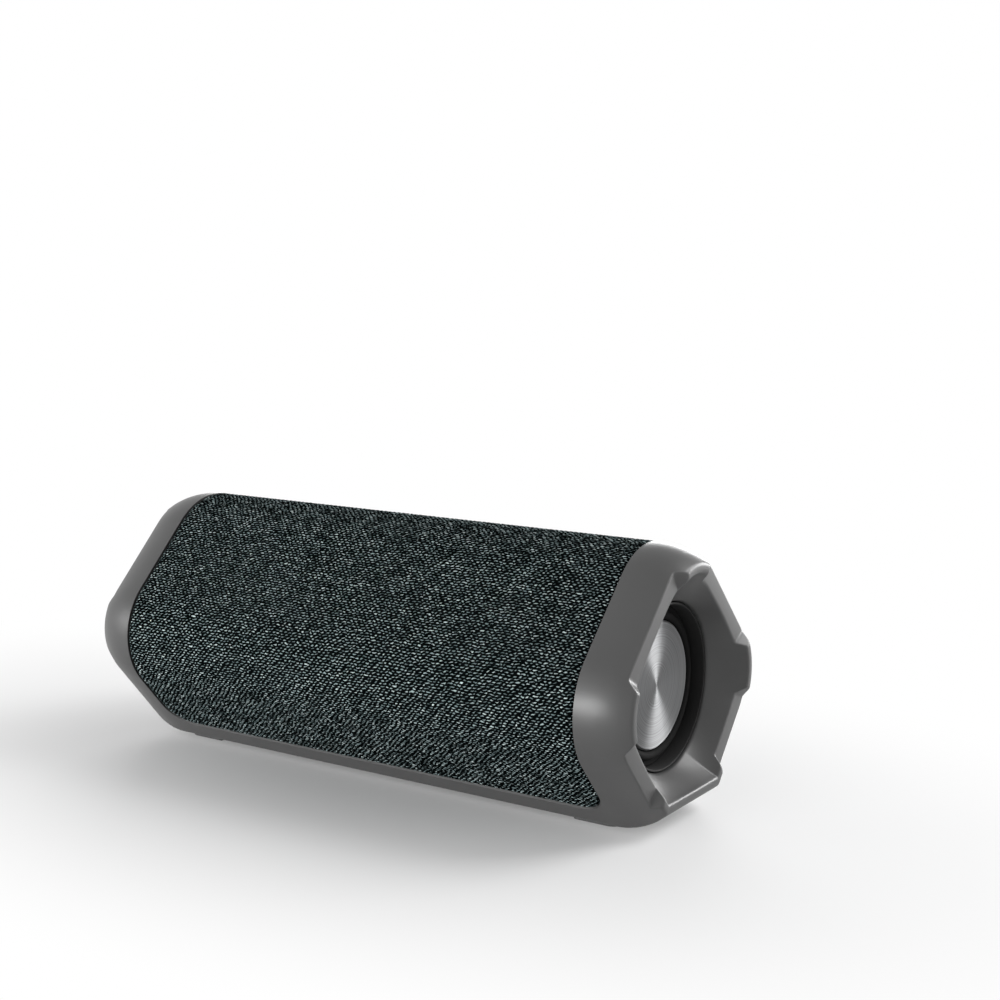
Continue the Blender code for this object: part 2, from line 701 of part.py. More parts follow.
def make_control_board():
    x, y = STRIP_HALF_LENGTH - CONTROL_BOARD_END_GAP, CONTROL_BOARD_WIDTH / 2
    low, high = (-x, -y, BOARD_TOP - BOARD_THICKNESS), (x, y, BOARD_TOP)
    finish(box("control_board", low, high, STRIP), "board")
    steps = ((SWITCH_WIDTH, 0.0), (SWITCH_WIDTH, SWITCH_BODY_HEIGHT),
             (SWITCH_PLUNGER_WIDTH, SWITCH_BODY_HEIGHT), (SWITCH_PLUNGER_WIDTH, SWITCH_HEIGHT))
    corners = ((-0.5, -0.5), (0.5, -0.5), (0.5, 0.5), (-0.5, 0.5))
    for name, start, end, _ in key_spans():
        place = STRIP @ Matrix.Translation(((start + end) / 2, 0.0, BOARD_TOP + FIT))
        rings = [[(a * width, b * width, height) for a, b in corners] for width, height in steps]
        finish(loft(name.replace("key", "switch"), rings, place), "black_plastic")


# Cloth and grille
def driver_frames():
    """(side name, placement) of each driver, with its Z along the outward normal of the front upper wall."""
    low = Vector(CORNER) + CORNER_RADIUS * Vector((math.cos(UPPER), math.sin(UPPER)))
    high = Vector(RIDGE) + RIDGE_RADIUS * Vector((math.cos(UPPER), math.sin(UPPER)))
    middle = (low + high) / 2
    for side, x in (("left", -DRIVER_X), ("right", DRIVER_X)):
        yield side, wall_frame(x, (-middle.x, middle.y), math.pi - UPPER)


def make_cloth_and_grille():
    cloth = finish(sleeve("fabric_sleeve", 0.0, CLOTH_THICKNESS, FIT), "cloth")
    grille = finish(sleeve("grille_shell", GRILLE_INSET, GRILLE_THICKNESS, FIT), "black_plastic")

    def strip_room():
        return wrapped("strip_room", strip_outline(FIT), PANEL_UNDER - OVERCUT, STRIP_PROUD + OVERCUT)

    reach = DRIVER_RADIUS - DRIVER_FLANGE_WIDTH
    depth = GRILLE_INSET + GRILLE_THICKNESS + OVERCUT
    slots = []
    for _, place in driver_frames():
        for k in range(GRILLE_SLOTS):
            y = (k - (GRILLE_SLOTS - 1) / 2) * GRILLE_SLOT_PITCH
            half = math.sqrt(reach ** 2 - y ** 2)
            slots.append(box("slot", (-half, y - GRILLE_SLOT_WIDTH / 2, -depth),
                             (half, y + GRILLE_SLOT_WIDTH / 2, OVERCUT), place))
    cut(cloth, strip_room())
    cut(grille, strip_room(), *slots)


# Enclosure, its ends and the radiators
def main_board_frame():
    """Placement on the back lower wall's skin, with Z along its outward normal."""
    top = Vector(CORNER) + CORNER_RADIUS * Vector((math.cos(LOWER), math.sin(LOWER)))
    return wall_frame(0.0, tuple((top + Vector(BASE_EDGE)) / 2), LOWER)


def main_screw_spots():
    x = MAIN_BOARD_LENGTH / 2 - MAIN_SCREW_END_GAP
    y = MAIN_BOARD_WIDTH / 2 - MAIN_SCREW_SIDE_GAP
    return [(sx * x, sy * y) for sx in (-1, 1) for sy in (-1, 1)]


def make_enclosure():
    shell = tube("enclosure", ENCLOSURE_INSET, ENCLOSURE_FLOOR, ENCLOSURE_WALL, -ENCLOSURE_HALF, ENCLOSURE_HALF)
    finish(shell, "black_plastic")
    bosses, rooms = [], []
    floor = FOOT_HEIGHT + ENCLOSURE_FLOOR
    for place in base_screw_places():
        low = floor - place.translation.z
        top = low + ENCLOSURE_WALL + BOSS_HEIGHT
        bosses.append(cylinder("boss", BOSS_RADIUS, low + ENCLOSURE_WALL / 2, top, place, SCREW_STEPS))
        rooms.append(cylinder("boss_hole", SCREW_RADIUS + FIT, low - OVERCUT, BASE_SCREW_LENGTH + FIT,
                              place, SCREW_STEPS))
    well = DRIVER_RADIUS + FIT
    for _, place in driver_frames():
        seat = -DRIVER_SINK
        bosses.append(cylinder("well", well + WELL_WALL, seat - WELL_FLOOR, -ENCLOSURE_INSET - WELL_TOP, place))
        rooms.append(cylinder("well_pocket", well, seat, OVERCUT, place))
        rooms.append(cylinder("well_mouth", DRIVER_RADIUS - DRIVER_FLANGE_WIDTH, seat - WELL_FLOOR - OVERCUT,
                              OVERCUT, place))
    clear = KEY_FLANGE + WINDOW_CLEARANCE
    half_width = OPEN_HALF_WIDTH - KEY_GAP + clear
    keys = stadium_rows(KEYS_START - clear, KEYS_END + clear, half_width, 0, 1)
    ports = stadium_rows(FLAP_START, FLAP_END, OPEN_HALF_WIDTH, 1, 0)
    for name, rows in (("key_window_inside", keys), ("port_window_inside", ports)):
        rooms.append(wrapped(name, rows, -ENCLOSURE_INSIDE - OVERCUT, -ENCLOSURE_INSET + OVERCUT))
    wall = main_board_frame()
    for x, y in main_screw_spots():
        place = wall @ Matrix.Translation((x, y, 0))
        tip = -ENCLOSURE_INSIDE - MAIN_BOARD_STANDOFF
        bosses.append(cylinder("standoff", BOSS_RADIUS, tip + FIT, -ENCLOSURE_INSIDE + ENCLOSURE_WALL / 2,
                               place, SCREW_STEPS))
        rooms.append(cylinder("standoff_hole", SCREW_RADIUS + FIT, tip - OVERCUT, -ENCLOSURE_INSIDE,
                              place, SCREW_STEPS))
    cut(join(shell, *bosses), *rooms)


def end_frame(end):
    """Placement on a radiator's axis with Z along the way out of that end."""
    return Matrix.Translation((0, 0, RADIATOR_Z)) @ Matrix.Rotation(end * math.pi / 2, 4, "Y")


def make_end(side, end):
    """An end plate with its gasket, and the passive radiator that looks out through the throat."""
    place = end_frame(end)
    flange = section(ENCLOSURE_INSET, ENCLOSURE_FLOOR)
    spigot_inset = ENCLOSURE_INSIDE + FIT
    spigot = section(spigot_inset, ENCLOSURE_FLOOR + ENCLOSURE_WALL + FIT)
    spigot_end = ENCLOSURE_HALF - SPIGOT_DEPTH
    rings = [at_x(end * x, outline) for x, outline in (
        (PLATE_OUT, flange), (PLATE_IN, flange), (PLATE_IN, spigot), (spigot_end, spigot))]
    plate = finish(loft("end_plate_" + side, rings), "black_plastic")
    collar_out = THROAT_RADIUS - FIT
    collar_in = collar_out - RING_COLLAR
    ledge_in = collar_in - RING_LEDGE
    cut(plate, cylinder("plate_hole", ledge_in, spigot_end - OVERCUT, PLATE_OUT + OVERCUT, place, ROUND_STEPS))

    finish(tube("end_gasket_" + side, ENCLOSURE_INSET, ENCLOSURE_FLOOR, ENCLOSURE_WALL,
                end * GASKET_IN, end * (PLATE_IN - FIT)), "rubber")

    seat = PLATE_OUT + FIT
    ledge_top = seat + RING_LEDGE_THICKNESS
    ring = [(collar_out, THROAT_X - FIT), (collar_out, seat), (ledge_in, seat), (ledge_in, ledge_top),
            (collar_in, ledge_top), (collar_in, THROAT_X - FIT)]
    finish(turned("radiator_ring_" + side, ring, place, ROUND_STEPS), "black_plastic")

    plate_under = RADIATOR_FACE - RADIATOR_PLATE
    neck_end = plate_under - RADIATOR_NECK_LENGTH
    disc = [(0.0, RADIATOR_FACE), (RADIATOR_RADIUS - RADIATOR_CHAMFER, RADIATOR_FACE),
            (RADIATOR_RADIUS, RADIATOR_FACE - RADIATOR_CHAMFER), (RADIATOR_RADIUS, plate_under),
            (RADIATOR_NECK_RADIUS, plate_under), (RADIATOR_NECK_RADIUS, neck_end), (0.0, neck_end)]
    finish(turned("radiator_disc_" + side, disc, place, ROUND_STEPS, closed=False), "aluminium")

    weight_top = neck_end - FIT
    weight_end = weight_top - RADIATOR_WEIGHT_THICKNESS
    finish(cylinder("radiator_weight_" + side, RADIATOR_WEIGHT_RADIUS, weight_end, weight_top, place), "steel")

    flange_top = ledge_top + FIT + RUBBER_THICKNESS
    lip_in = RADIATOR_NECK_RADIUS + FIT
    lip_out = max(lip_in + SURROUND_LIP, RADIATOR_RADIUS + FIT)
    roll = (ledge_in - lip_out) / 2
    path = [(collar_in - FIT, flange_top)]
    path += arc((lip_out + roll, flange_top), roll, 0.0, math.pi, ROLL_STEPS)
    lip_top = plate_under - FIT
    path += [(lip_out, lip_top), (lip_in, lip_top)]
    surround = turned("radiator_surround_" + side, path[::-1], place, ROUND_STEPS, closed=False)
    finish(solidify(surround, RUBBER_THICKNESS), "rubber")


# Drivers
def make_driver(side, place):
    """Basket, magnet, cone and surround, turned about the driver's axis with the skin at height 0."""
    flange_top = -DRIVER_SINK + FIT + DRIVER_FLANGE
    flange_under = flange_top - DRIVER_FLANGE
    bottom = flange_top - BASKET_DEPTH
    coil_hole = COIL_RADIUS + COIL_WALL + COIL_SLOT_CLEARANCE
    mouth = DRIVER_RADIUS - DRIVER_FLANGE_WIDTH - FIT
    basket = [(DRIVER_RADIUS, flange_top), (DRIVER_RADIUS, flange_under), (mouth, flange_under),
              (BASKET_FOOT_RADIUS, bottom), (coil_hole, bottom), (coil_hole, bottom + BASKET_WALL),
              (BASKET_FOOT_RADIUS - BASKET_WALL, bottom + BASKET_WALL), (mouth - BASKET_WALL, flange_top)]
    finish(turned("driver_basket_" + side, basket, place, HIDDEN_STEPS), "steel")

    magnet_top = bottom - FIT
    magnet_end = magnet_top - MAGNET_LENGTH
    slot_floor = magnet_end + MAGNET_BACK
    pole = COIL_RADIUS - COIL_SLOT_CLEARANCE
    magnet = [(0.0, magnet_top), (pole, magnet_top), (pole, slot_floor), (coil_hole, slot_floor),
              (coil_hole, magnet_top), (MAGNET_RADIUS, magnet_top), (MAGNET_RADIUS, magnet_end),
              (0.0, magnet_end)]
    finish(turned("driver_magnet_" + side, magnet, place, HIDDEN_STEPS, closed=False), "steel")

    cone_top = flange_under
    cone_foot = cone_top - CONE_DROP
    coil_out = COIL_RADIUS + COIL_WALL
    coil_end = (magnet_top + slot_floor) / 2
    cone = [(0.0, cone_foot + CAP_RISE), (COIL_RADIUS, cone_foot + CONE_WALL), (CONE_RADIUS, cone_top),
            (CONE_RADIUS, cone_top - CONE_WALL), (coil_out, cone_foot - CONE_WALL), (coil_out, coil_end),
            (COIL_RADIUS, coil_end), (COIL_RADIUS, cone_foot - CONE_WALL),
            (0.0, cone_foot + CAP_RISE - CONE_WALL)]
    finish(turned("driver_cone_" + side, cone, place, HIDDEN_STEPS, closed=False), "paper")

    top = flange_top + FIT + RUBBER_THICKNESS
    edge = DRIVER_RADIUS - FIT
    roll = (mouth - BASKET_WALL - CONE_RADIUS) / 2 + RUBBER_THICKNESS
    lip_out = CONE_RADIUS - RUBBER_THICKNESS / 2
    lip_top = cone_top + FIT + RUBBER_THICKNESS
    path = [(edge, top)] + arc((lip_out + roll, top), roll, 0.0, math.pi, ROLL_STEPS)
    path += [(lip_out, lip_top), (lip_out - SURROUND_LIP, lip_top)]
    surround = turned("driver_surround_" + side, path[::-1], place, HIDDEN_STEPS, closed=False)
    finish(solidify(surround, RUBBER_THICKNESS), "rubber")


# Main board and battery
def make_main_board():
    wall = main_board_frame()
    under = -ENCLOSURE_INSIDE - MAIN_BOARD_STANDOFF
    top = under - BOARD_THICKNESS
    board = box("main_board", (-MAIN_BOARD_LENGTH / 2, -MAIN_BOARD_WIDTH / 2, top),
                (MAIN_BOARD_LENGTH / 2, MAIN_BOARD_WIDTH / 2, under), wall)
    finish(board, "board")
    holes = []
    for number, (x, y) in enumerate(main_screw_spots(), start=1):
        place = wall @ Matrix.Translation((x, y, top - FIT))
        holes.append(cylinder("board_hole", SCREW_RADIUS + FIT, -OVERCUT, BOARD_THICKNESS + OVERCUT,
                              place, SCREW_STEPS))
        screw(f"board_screw_{number}", place, MAIN_SCREW_HEAD_HEIGHT, FIT + BOARD_THICKNESS + MAIN_SCREW_LENGTH)
    cut(board, *holes)
    for name, (x, y, length, width, height) in CHIPS.items():
        low = (x - length / 2, y - width / 2, top - FIT - height)
        high = (x + length / 2, y + width / 2, top - FIT)
        finish(box(name, low, high, wall), "black_plastic")


def make_battery():
    floor = FOOT_HEIGHT + ENCLOSURE_FLOOR + ENCLOSURE_WALL + FIT
    axis_z = floor + HOLDER_WALL + FIT + CELL_RADIUS
    place = Matrix.Translation((0, CELL_Y, axis_z)) @ Matrix.Rotation(math.pi / 2, 4, "Y")
    half = CELL_LENGTH / 2
    cell = [(0.0, half), (CELL_TIP_RADIUS, half), (CELL_TIP_RADIUS, half - CELL_TIP),
            (CELL_RADIUS, half - CELL_TIP), (CELL_RADIUS, -half), (0.0, -half)]
    finish(turned("battery_cell", cell, place, HIDDEN_STEPS, closed=False), "cell_wrap")
    reach = half + FIT + HOLDER_WALL
    holder = box("battery_holder", (-reach, CELL_Y - HOLDER_WIDTH / 2, floor),
                 (reach, CELL_Y + HOLDER_WIDTH / 2, axis_z - HOLDER_TOP_DROP))
    cut(holder, cylinder("cell_room", CELL_RADIUS + FIT, -half - FIT, half + FIT, place))
    finish(holder, "black_plastic")


make_frame()
make_feet()
make_control_strip()
make_control_board()
make_cloth_and_grille()
make_enclosure()
for side_name, end_sign in (("left", -1), ("right", 1)):
    make_end(side_name, end_sign)
for side_name, driver_place in driver_frames():
    make_driver(side_name, driver_place)
make_main_board()
make_battery()
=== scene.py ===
"""The portable speaker as it looks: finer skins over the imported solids, materials, light and camera.

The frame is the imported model's own: metres, X along the length, the front towards -Y, Z = 0 under the feet.
Sizes that a finer skin needs are repeated here from the part's source.
"""

import math

import bmesh
import bpy
import numpy as np
from mathutils import Matrix, Vector


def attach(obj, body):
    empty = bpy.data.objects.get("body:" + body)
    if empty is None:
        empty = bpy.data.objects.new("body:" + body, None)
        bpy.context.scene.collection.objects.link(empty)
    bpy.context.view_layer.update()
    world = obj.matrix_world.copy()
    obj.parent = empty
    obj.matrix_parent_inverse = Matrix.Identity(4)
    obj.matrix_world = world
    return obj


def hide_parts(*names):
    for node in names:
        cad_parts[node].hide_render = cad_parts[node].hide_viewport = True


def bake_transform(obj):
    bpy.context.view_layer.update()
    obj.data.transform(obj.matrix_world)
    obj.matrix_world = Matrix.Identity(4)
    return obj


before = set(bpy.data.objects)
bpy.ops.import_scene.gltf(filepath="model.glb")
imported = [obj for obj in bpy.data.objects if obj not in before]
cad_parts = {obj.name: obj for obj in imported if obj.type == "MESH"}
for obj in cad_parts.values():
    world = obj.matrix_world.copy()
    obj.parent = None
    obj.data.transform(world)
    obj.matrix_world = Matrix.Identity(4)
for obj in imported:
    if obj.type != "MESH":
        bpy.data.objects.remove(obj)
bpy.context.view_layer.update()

# Sizes of the solids
FIT = 0.0003
HALF = 0.0900
SLEEVE_HALF = 0.0758
CORNER = (0.0182, 0.0347)
CORNER_RADIUS = 0.0202
RIDGE = (0.0, 0.0520)
RIDGE_RADIUS = 0.0212
BASE_EDGE = (0.0160, 0.0012)
BASE_EDGE_RADIUS = 0.0010
BARREL_RADIUS = 0.0258
CAP_LENGTH = 0.0142
END_LIFT = 0.0054
RIM_LIP = 0.0023
RECESS_DEPTH = 0.0024
RECESS_RAMP = 0.0022
RECESS_REACH = 0.0130
UPPER_RECESS_REACH = (0.0018, 0.0040)
LOWER_RECESS_REACH = 0.0030
LOWER_RECESS_LENGTH = 0.0172
THROAT_RADIUS = 0.0225
THROAT_DEPTH = 0.0083
FUNNEL_CURVE = 1.2
RADIATOR_Z = 0.0354
TRAY_WALL = 0.0030
TRAY_FLOOR = 0.0030
SLEEVE_LIP = 0.0058
SLEEVE_CORNER = 0.0080
CLOTH_THICKNESS = 0.0009
FOOT_HEIGHT = 0.0012
FOOT_SEAT = 0.0006
FOOT_END = 0.0758
FOOT_BAR = 0.0055
FOOT_LEG_LENGTH = 0.0082
FOOT_WIDTH = 0.0284
FOOT_CORNER = 0.0040
STRIP_TILT = math.radians(11.0)
STRIP_HALF_LENGTH = 0.0567
STRIP_HALF_WIDTH = 0.0095
STRIP_PROUD = 0.0007
STRIP_LIP = 0.0013
STRIP_FLOOR = 0.0013
FLAP_LENGTH = 0.0317
FLAP_BAR = 0.0018
FLAP_GAP = 0.00035
FLAP_THICKNESS = 0.0020
KEY_NAMES = ("key_plus", "key_play", "key_minus", "key_mode", "key_power")
KEY_GAP = 0.00045
KEY_SPACING = 0.0009
KEY_CORNER = 0.0010
KEY_PROUD = 0.0002
KEY_UNDER = -0.0045
USB_OFFSET = 0.0085
USB_ROOM = (0.0095, 0.0038)
AUX_OFFSET = 0.0205
AUX_ROOM_RADIUS = 0.0034

PANEL_UNDER = -TRAY_WALL
POCKET_FLOOR = PANEL_UNDER + STRIP_FLOOR
OPEN_HALF_WIDTH = STRIP_HALF_WIDTH - STRIP_LIP
FLAP_START = -STRIP_HALF_LENGTH + STRIP_LIP
FLAP_END = FLAP_START + FLAP_LENGTH
KEYS_START = FLAP_END + FLAP_BAR
KEYS_END = STRIP_HALF_LENGTH - STRIP_LIP
KEY_LENGTH = (KEYS_END - KEYS_START - 2 * KEY_GAP - (len(KEY_NAMES) - 1) * KEY_SPACING) / len(KEY_NAMES)

# Radiators: (radius, distance along the axis) profiles of the finer disc, ring and rubber
DISC_RADIUS = 0.0171
DISC_FACE = 0.0784
DISC_UNDER = 0.0772
DISC_CHAMFER = 0.0004
DISC_NECK_RADIUS = 0.0161
DISC_NECK_END = 0.0750
GROOVE_PITCH = 0.00048
GROOVE_DEPTH = 0.000020
COLLAR_OUT = 0.0222
COLLAR_IN = 0.0216
LEDGE_IN = 0.0199
LEDGE_LOW = 0.0758
LEDGE_TOP = 0.0766
COLLAR_TOP = 0.0814
RUBBER = 0.0006
RUBBER_TOP = 0.0775
ROLL_CENTRE = 0.01865
ROLL_RADIUS = 0.00125
LIP_IN = 0.0164
LIP_TOP = 0.0769
WEDGES = 12
WEDGE_REACH = (0.0193, 0.0174)

# Drivers: distance from the middle, and the roll's (radius, height over the skin) profile
DRIVER_X = 0.0380
DRIVER_EDGE = 0.0182
DRIVER_RUBBER_TOP = -0.0044
DRIVER_ROLL_CENTRE = 0.01465
DRIVER_ROLL_RADIUS = 0.00115
DRIVER_LIP_IN = 0.0126
DRIVER_LIP_TOP = -0.0056
DRIVER_REACH = (0.0154, 0.0137)

# Cloth: length of a stitch along a yarn, distance between yarns, how far they stand out and stray, how the
# edge is tucked in, and the area that the hole and the round corners take
STITCH = 0.00156
YARN = 0.00078
WEAVE_HEIGHT = 0.00010
STITCH_OVER, STITCH_UNDER, YARN_GAP = 1.0, -0.2, -0.9
STITCH_LEAST, STITCH_SPREAD = 0.7, 0.6
STRAY = 0.00016
STRAY_FADE = 0.0040
EDGE_FADE = 0.0006
CLOTH_SINK = 0.00010
TUCK_WIDTH = 0.0010
TUCK_DEPTH = 0.00045

# Softened edges
FOOT_SOFTNESS = 0.0004
COLLAR_SOFTNESS = 0.00022
RIM_SOFTNESS = 0.0004
FLOOR_SOFTNESS = 0.00005
FLAP_SOFTNESS = 0.00035
FLAP_CORNER = 0.0003
KEY_SOFTNESS = 0.00045
TAB_SOFTNESS = 0.0009
RECESS_SOFTNESS = 0.00045
MOUTH_SOFTNESS = 0.0007
RAMP_EASE = 0.4

# Raised signs of the keys
MARK_LOW = STRIP_PROUD + KEY_PROUD - 0.00010
MARK_HIGH = STRIP_PROUD + KEY_PROUD + 0.00022
MARK_LINE = 0.00040
MARK_SIZE = 0.0022
PLAY_SLOPE = 1.6
PLAY_TIP = 0.00002
PAUSE_BARS = (-0.0015, -0.0029)
PAUSE_LINE = 0.7
POWER_ARC = (math.radians(125), math.radians(415))
POWER_BAR_START = 0.0009

# How far cutters overshoot, and joined solids reach into each other or stay off a shared face
GROOVE_OVERSHOOT = 0.002
ROOM_OVERSHOOT = 0.003
JOIN = 0.0003
APART = 0.00002

# Fineness of the meshes
TRAY_POINTS, LIP_POINTS, WALL_POINTS, BASE_POINTS = 8, 13, 28, 11
EDGE_POINTS, CORNER_POINTS, HIGH_POINTS, RIDGE_POINTS = 6, 44, 56, 26
FUNNEL_POINTS, ROOM_POINTS, RIM_POINTS, MARK_POINTS, PLAY_POINTS = 10, 20, 48, 9, 13
FOOT_STEPS, SOFT_STEPS, ROLL_STEPS, WEDGE_STEPS, RING_STEPS, ROUND_STEPS = 12, 4, 12, 12, 40, 128
BARREL_STATIONS = (0.0, 0.10, 0.20, 0.30, 0.40, 0.49, 0.58, 0.66, 0.74, 0.81, 1.0)
EDGE_OFFSETS = (0.0, 0.00003, 0.00009, 0.00018, 0.0003, 0.00045, 0.0007, 0.0011, 0.0017)
EDGE_SHARE = 0.4
PLATE_STEP = 0.0014
RIM_STEP = 0.004

SEED = 8103
MERGE = 0.000002
TINY = 1e-12
SHARP_ANGLE = math.radians(38.0)
BEVEL_ANGLE = math.radians(40.0)


# Objects
def add_object(name, data):
    item = bpy.data.objects.new(name, data)
    bpy.context.scene.collection.objects.link(item)
    return item


def axes_place(across, up, axis, origin):
    """Placement with its X, Y and Z along the given directions."""
    place = Matrix((across, up, axis)).transposed().to_4x4()
    place.translation = origin
    return place


def new_piece(name, bm, body, replaced=(), slot=None, merge=MERGE):
    """Mesh piece from a bmesh, smooth except at its sharp edges, riding on a body."""
    if merge:
        bmesh.ops.remove_doubles(bm, verts=bm.verts, dist=merge)
        bmesh.ops.delete(bm, geom=[edge for edge in bm.edges if not edge.link_faces], context="EDGES")
    bmesh.ops.recalc_face_normals(bm, faces=bm.faces)
    mesh = bpy.data.meshes.new(name)
    bm.to_mesh(mesh)
    bm.free()
    mesh.shade_smooth()
    mesh.set_sharp_from_angle(angle=SHARP_ANGLE)
    piece = add_object(name, mesh)
    if body:
        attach(piece, body)
    if replaced:
        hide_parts(*replaced)
    return piece


def apply_booleans(piece, tools, operation):
    """Applies exact booleans with scratch objects, which are removed."""
    for tool in tools:
        modifier = piece.modifiers.new("boolean", "BOOLEAN")
        modifier.operation = operation
        modifier.solver = "EXACT"
        modifier.object = tool
    graph = bpy.context.evaluated_depsgraph_get()
    made = bpy.data.meshes.new_from_object(piece.evaluated_get(graph))
    piece.modifiers.clear()
    piece.data = made
    made.shade_smooth()
    made.set_sharp_from_angle(angle=SHARP_ANGLE)
    for tool in tools:
        bpy.data.objects.remove(tool, do_unlink=True)


def grid_faces(bm, grid, close_rows=False, close_columns=False):
    """Quads through a rows x columns grid of vertices."""
    rows, columns = len(grid), len(grid[0])
    for j in range(rows if close_rows else rows - 1):
        for k in range(columns if close_columns else columns - 1):
            a, b = grid[j], grid[(j + 1) % rows]
            n = (k + 1) % columns
            bm.faces.new((a[k], b[k], b[n], a[n]))


def ring_faces(bm, rings, closed=False):
    """Quads through closed rings of points, with flat ends unless the last ring joins the first."""
    grid = [[bm.verts.new(point) for point in ring] for ring in rings]
    grid_faces(bm, grid, close_rows=closed, close_columns=True)
    if not closed:
        bm.faces.new(grid[0])
        bm.faces.new(grid[-1])


def ringed(name, rings, body, closed=False, **words):
    """Closed skin through closed rings."""
    bm = bmesh.new()
    ring_faces(bm, rings, closed)
    return new_piece(name, bm, body, **words)


def polar(centre_y, centre_z, radius, angle):
    """Points at an angle, or at every one of an array, round a centre."""
    return np.stack([centre_y + radius * np.cos(angle), centre_z + radius * np.sin(angle)], axis=-1)


def arc_points(centre, radius, start, end, steps):
    return [tuple(point) for point in polar(*centre, radius, np.linspace(start, end, steps + 1))]


def stadium_loop(half_width, half_length, count):
    """Points (across, along) round a stadium, with as many for every inset."""
    straight = half_length - half_width
    points = []
    for end in (1, -1):
        for a in np.linspace(-math.pi / 2, math.pi / 2, count):
            points.append((end * half_width * math.sin(a), end * (straight + half_width * math.cos(a))))
    return points


# The five-sided section: angles of the walls' normals, from Y towards Z, and the walls' lengths
TO_BASE, TO_RIDGE = Vector(BASE_EDGE) - Vector(CORNER), Vector(RIDGE) - Vector(CORNER)
RADIUS_CHANGE = CORNER_RADIUS - RIDGE_RADIUS
LOWER = math.atan2(TO_BASE.y, TO_BASE.x) + math.acos(CORNER_RADIUS / TO_BASE.length)
UPPER = math.atan2(TO_RIDGE.y, TO_RIDGE.x) - math.acos(RADIUS_CHANGE / TO_RIDGE.length)
LOWER_LENGTH = math.sqrt(TO_BASE.length_squared - CORNER_RADIUS ** 2)
UPPER_LENGTH = math.sqrt(TO_RIDGE.length_squared - RADIUS_CHANGE ** 2)
EDGE_RISE = BASE_EDGE_RADIUS * math.tan((math.pi / 2 + LOWER) / 2)

BASE, EDGE, LOW_WALL, CORNER_ARC, HIGH_WALL, RIDGE_ARC = range(6)


def section_rows():
    """(kind, parameter, side) arrays of the rows round the section, from the base's middle round the back."""
    lip_turns = np.linspace(0, math.pi / 2, LIP_POINTS)
    rises = np.concatenate([np.linspace(EDGE_RISE, SLEEVE_LIP, TRAY_POINTS)[1:-1],
                            SLEEVE_LIP + SLEEVE_CORNER * (1 - np.cos(lip_turns)),
                            np.linspace(SLEEVE_LIP + SLEEVE_CORNER, LOWER_LENGTH, WALL_POINTS)[1:-1]])
    spans = ((BASE, np.linspace(0, 1, BASE_POINTS)[:-1]),
             (EDGE, np.linspace(-math.pi / 2, LOWER, EDGE_POINTS)),
             (LOW_WALL, (rises - EDGE_RISE) / (LOWER_LENGTH - EDGE_RISE)),
             (CORNER_ARC, np.linspace(LOWER, UPPER, CORNER_POINTS)),
             (HIGH_WALL, np.linspace(0, 1, HIGH_POINTS)[1:-1]),
             (RIDGE_ARC, np.linspace(UPPER, math.pi / 2, RIDGE_POINTS)))
    kinds = np.concatenate([np.full(len(t), kind) for kind, t in spans])
    values = np.concatenate([t for _, t in spans])
    back = slice(-2, 0, -1)
    return (np.concatenate([kinds, kinds[back]]), np.concatenate([values, values[back]]),
            np.concatenate([np.ones(len(kinds)), -np.ones(len(kinds) - 2)]))


KIND, VALUE, SIDE = section_rows()
ROWS = len(KIND)
RISE = np.where(KIND < LOW_WALL, 0.0, np.where(KIND == LOW_WALL,
                EDGE_RISE + VALUE * (LOWER_LENGTH - EDGE_RISE), 1.0))


def skin(inset, floor):
    """(y, z) of every row at an inset from the outer skin and a floor over the base, one or one per row."""
    inset, floor = (np.broadcast_to(np.asarray(value, float), ROWS) for value in (inset, floor))
    rise = floor + BASE_EDGE_RADIUS
    edge_y = BASE_EDGE[0] - (inset + BASE_EDGE_RADIUS + math.sin(LOWER) * rise) / math.cos(LOWER)
    edge_z = BASE_EDGE[1] + rise
    corner_r, ridge_r = CORNER_RADIUS - inset, RIDGE_RADIUS - inset
    t = VALUE[:, None]
    edge_end = polar(edge_y, edge_z, BASE_EDGE_RADIUS, LOWER)
    corner_low, corner_high = polar(*CORNER, corner_r, LOWER), polar(*CORNER, corner_r, UPPER)
    ridge_low = polar(*RIDGE, ridge_r, UPPER)
    kinds = {BASE: np.stack([VALUE * edge_y, edge_z - BASE_EDGE_RADIUS], axis=-1),
             EDGE: polar(edge_y, edge_z, BASE_EDGE_RADIUS, VALUE),
             LOW_WALL: edge_end + t * (corner_low - edge_end),
             CORNER_ARC: polar(*CORNER, corner_r, VALUE),
             HIGH_WALL: corner_high + t * (ridge_low - corner_high),
             RIDGE_ARC: polar(*RIDGE, ridge_r, VALUE)}
    points = np.zeros((ROWS, 2))
    for kind, values in kinds.items():
        points[KIND == kind] = values[KIND == kind]
    points[:, 0] *= SIDE
    return points


# Frame
def drawn_in(radius, x):
    """How far a curve of this radius, level where the end cap begins, has drawn in at x."""
    over = np.maximum(0.0, x - SLEEVE_HALF)
    return radius - np.sqrt(radius ** 2 - over ** 2)


LIFT_RADIUS = (CAP_LENGTH ** 2 + END_LIFT ** 2) / (2 * END_LIFT)
END_INSET = drawn_in(BARREL_RADIUS, HALF)


def ramp(value):
    """Ramp from 0 to 1 with slightly eased ends."""
    value = np.clip(value, 0.0, 1.0)
    return (1 - RAMP_EASE) * value + RAMP_EASE * value * value * (3 - 2 * value)


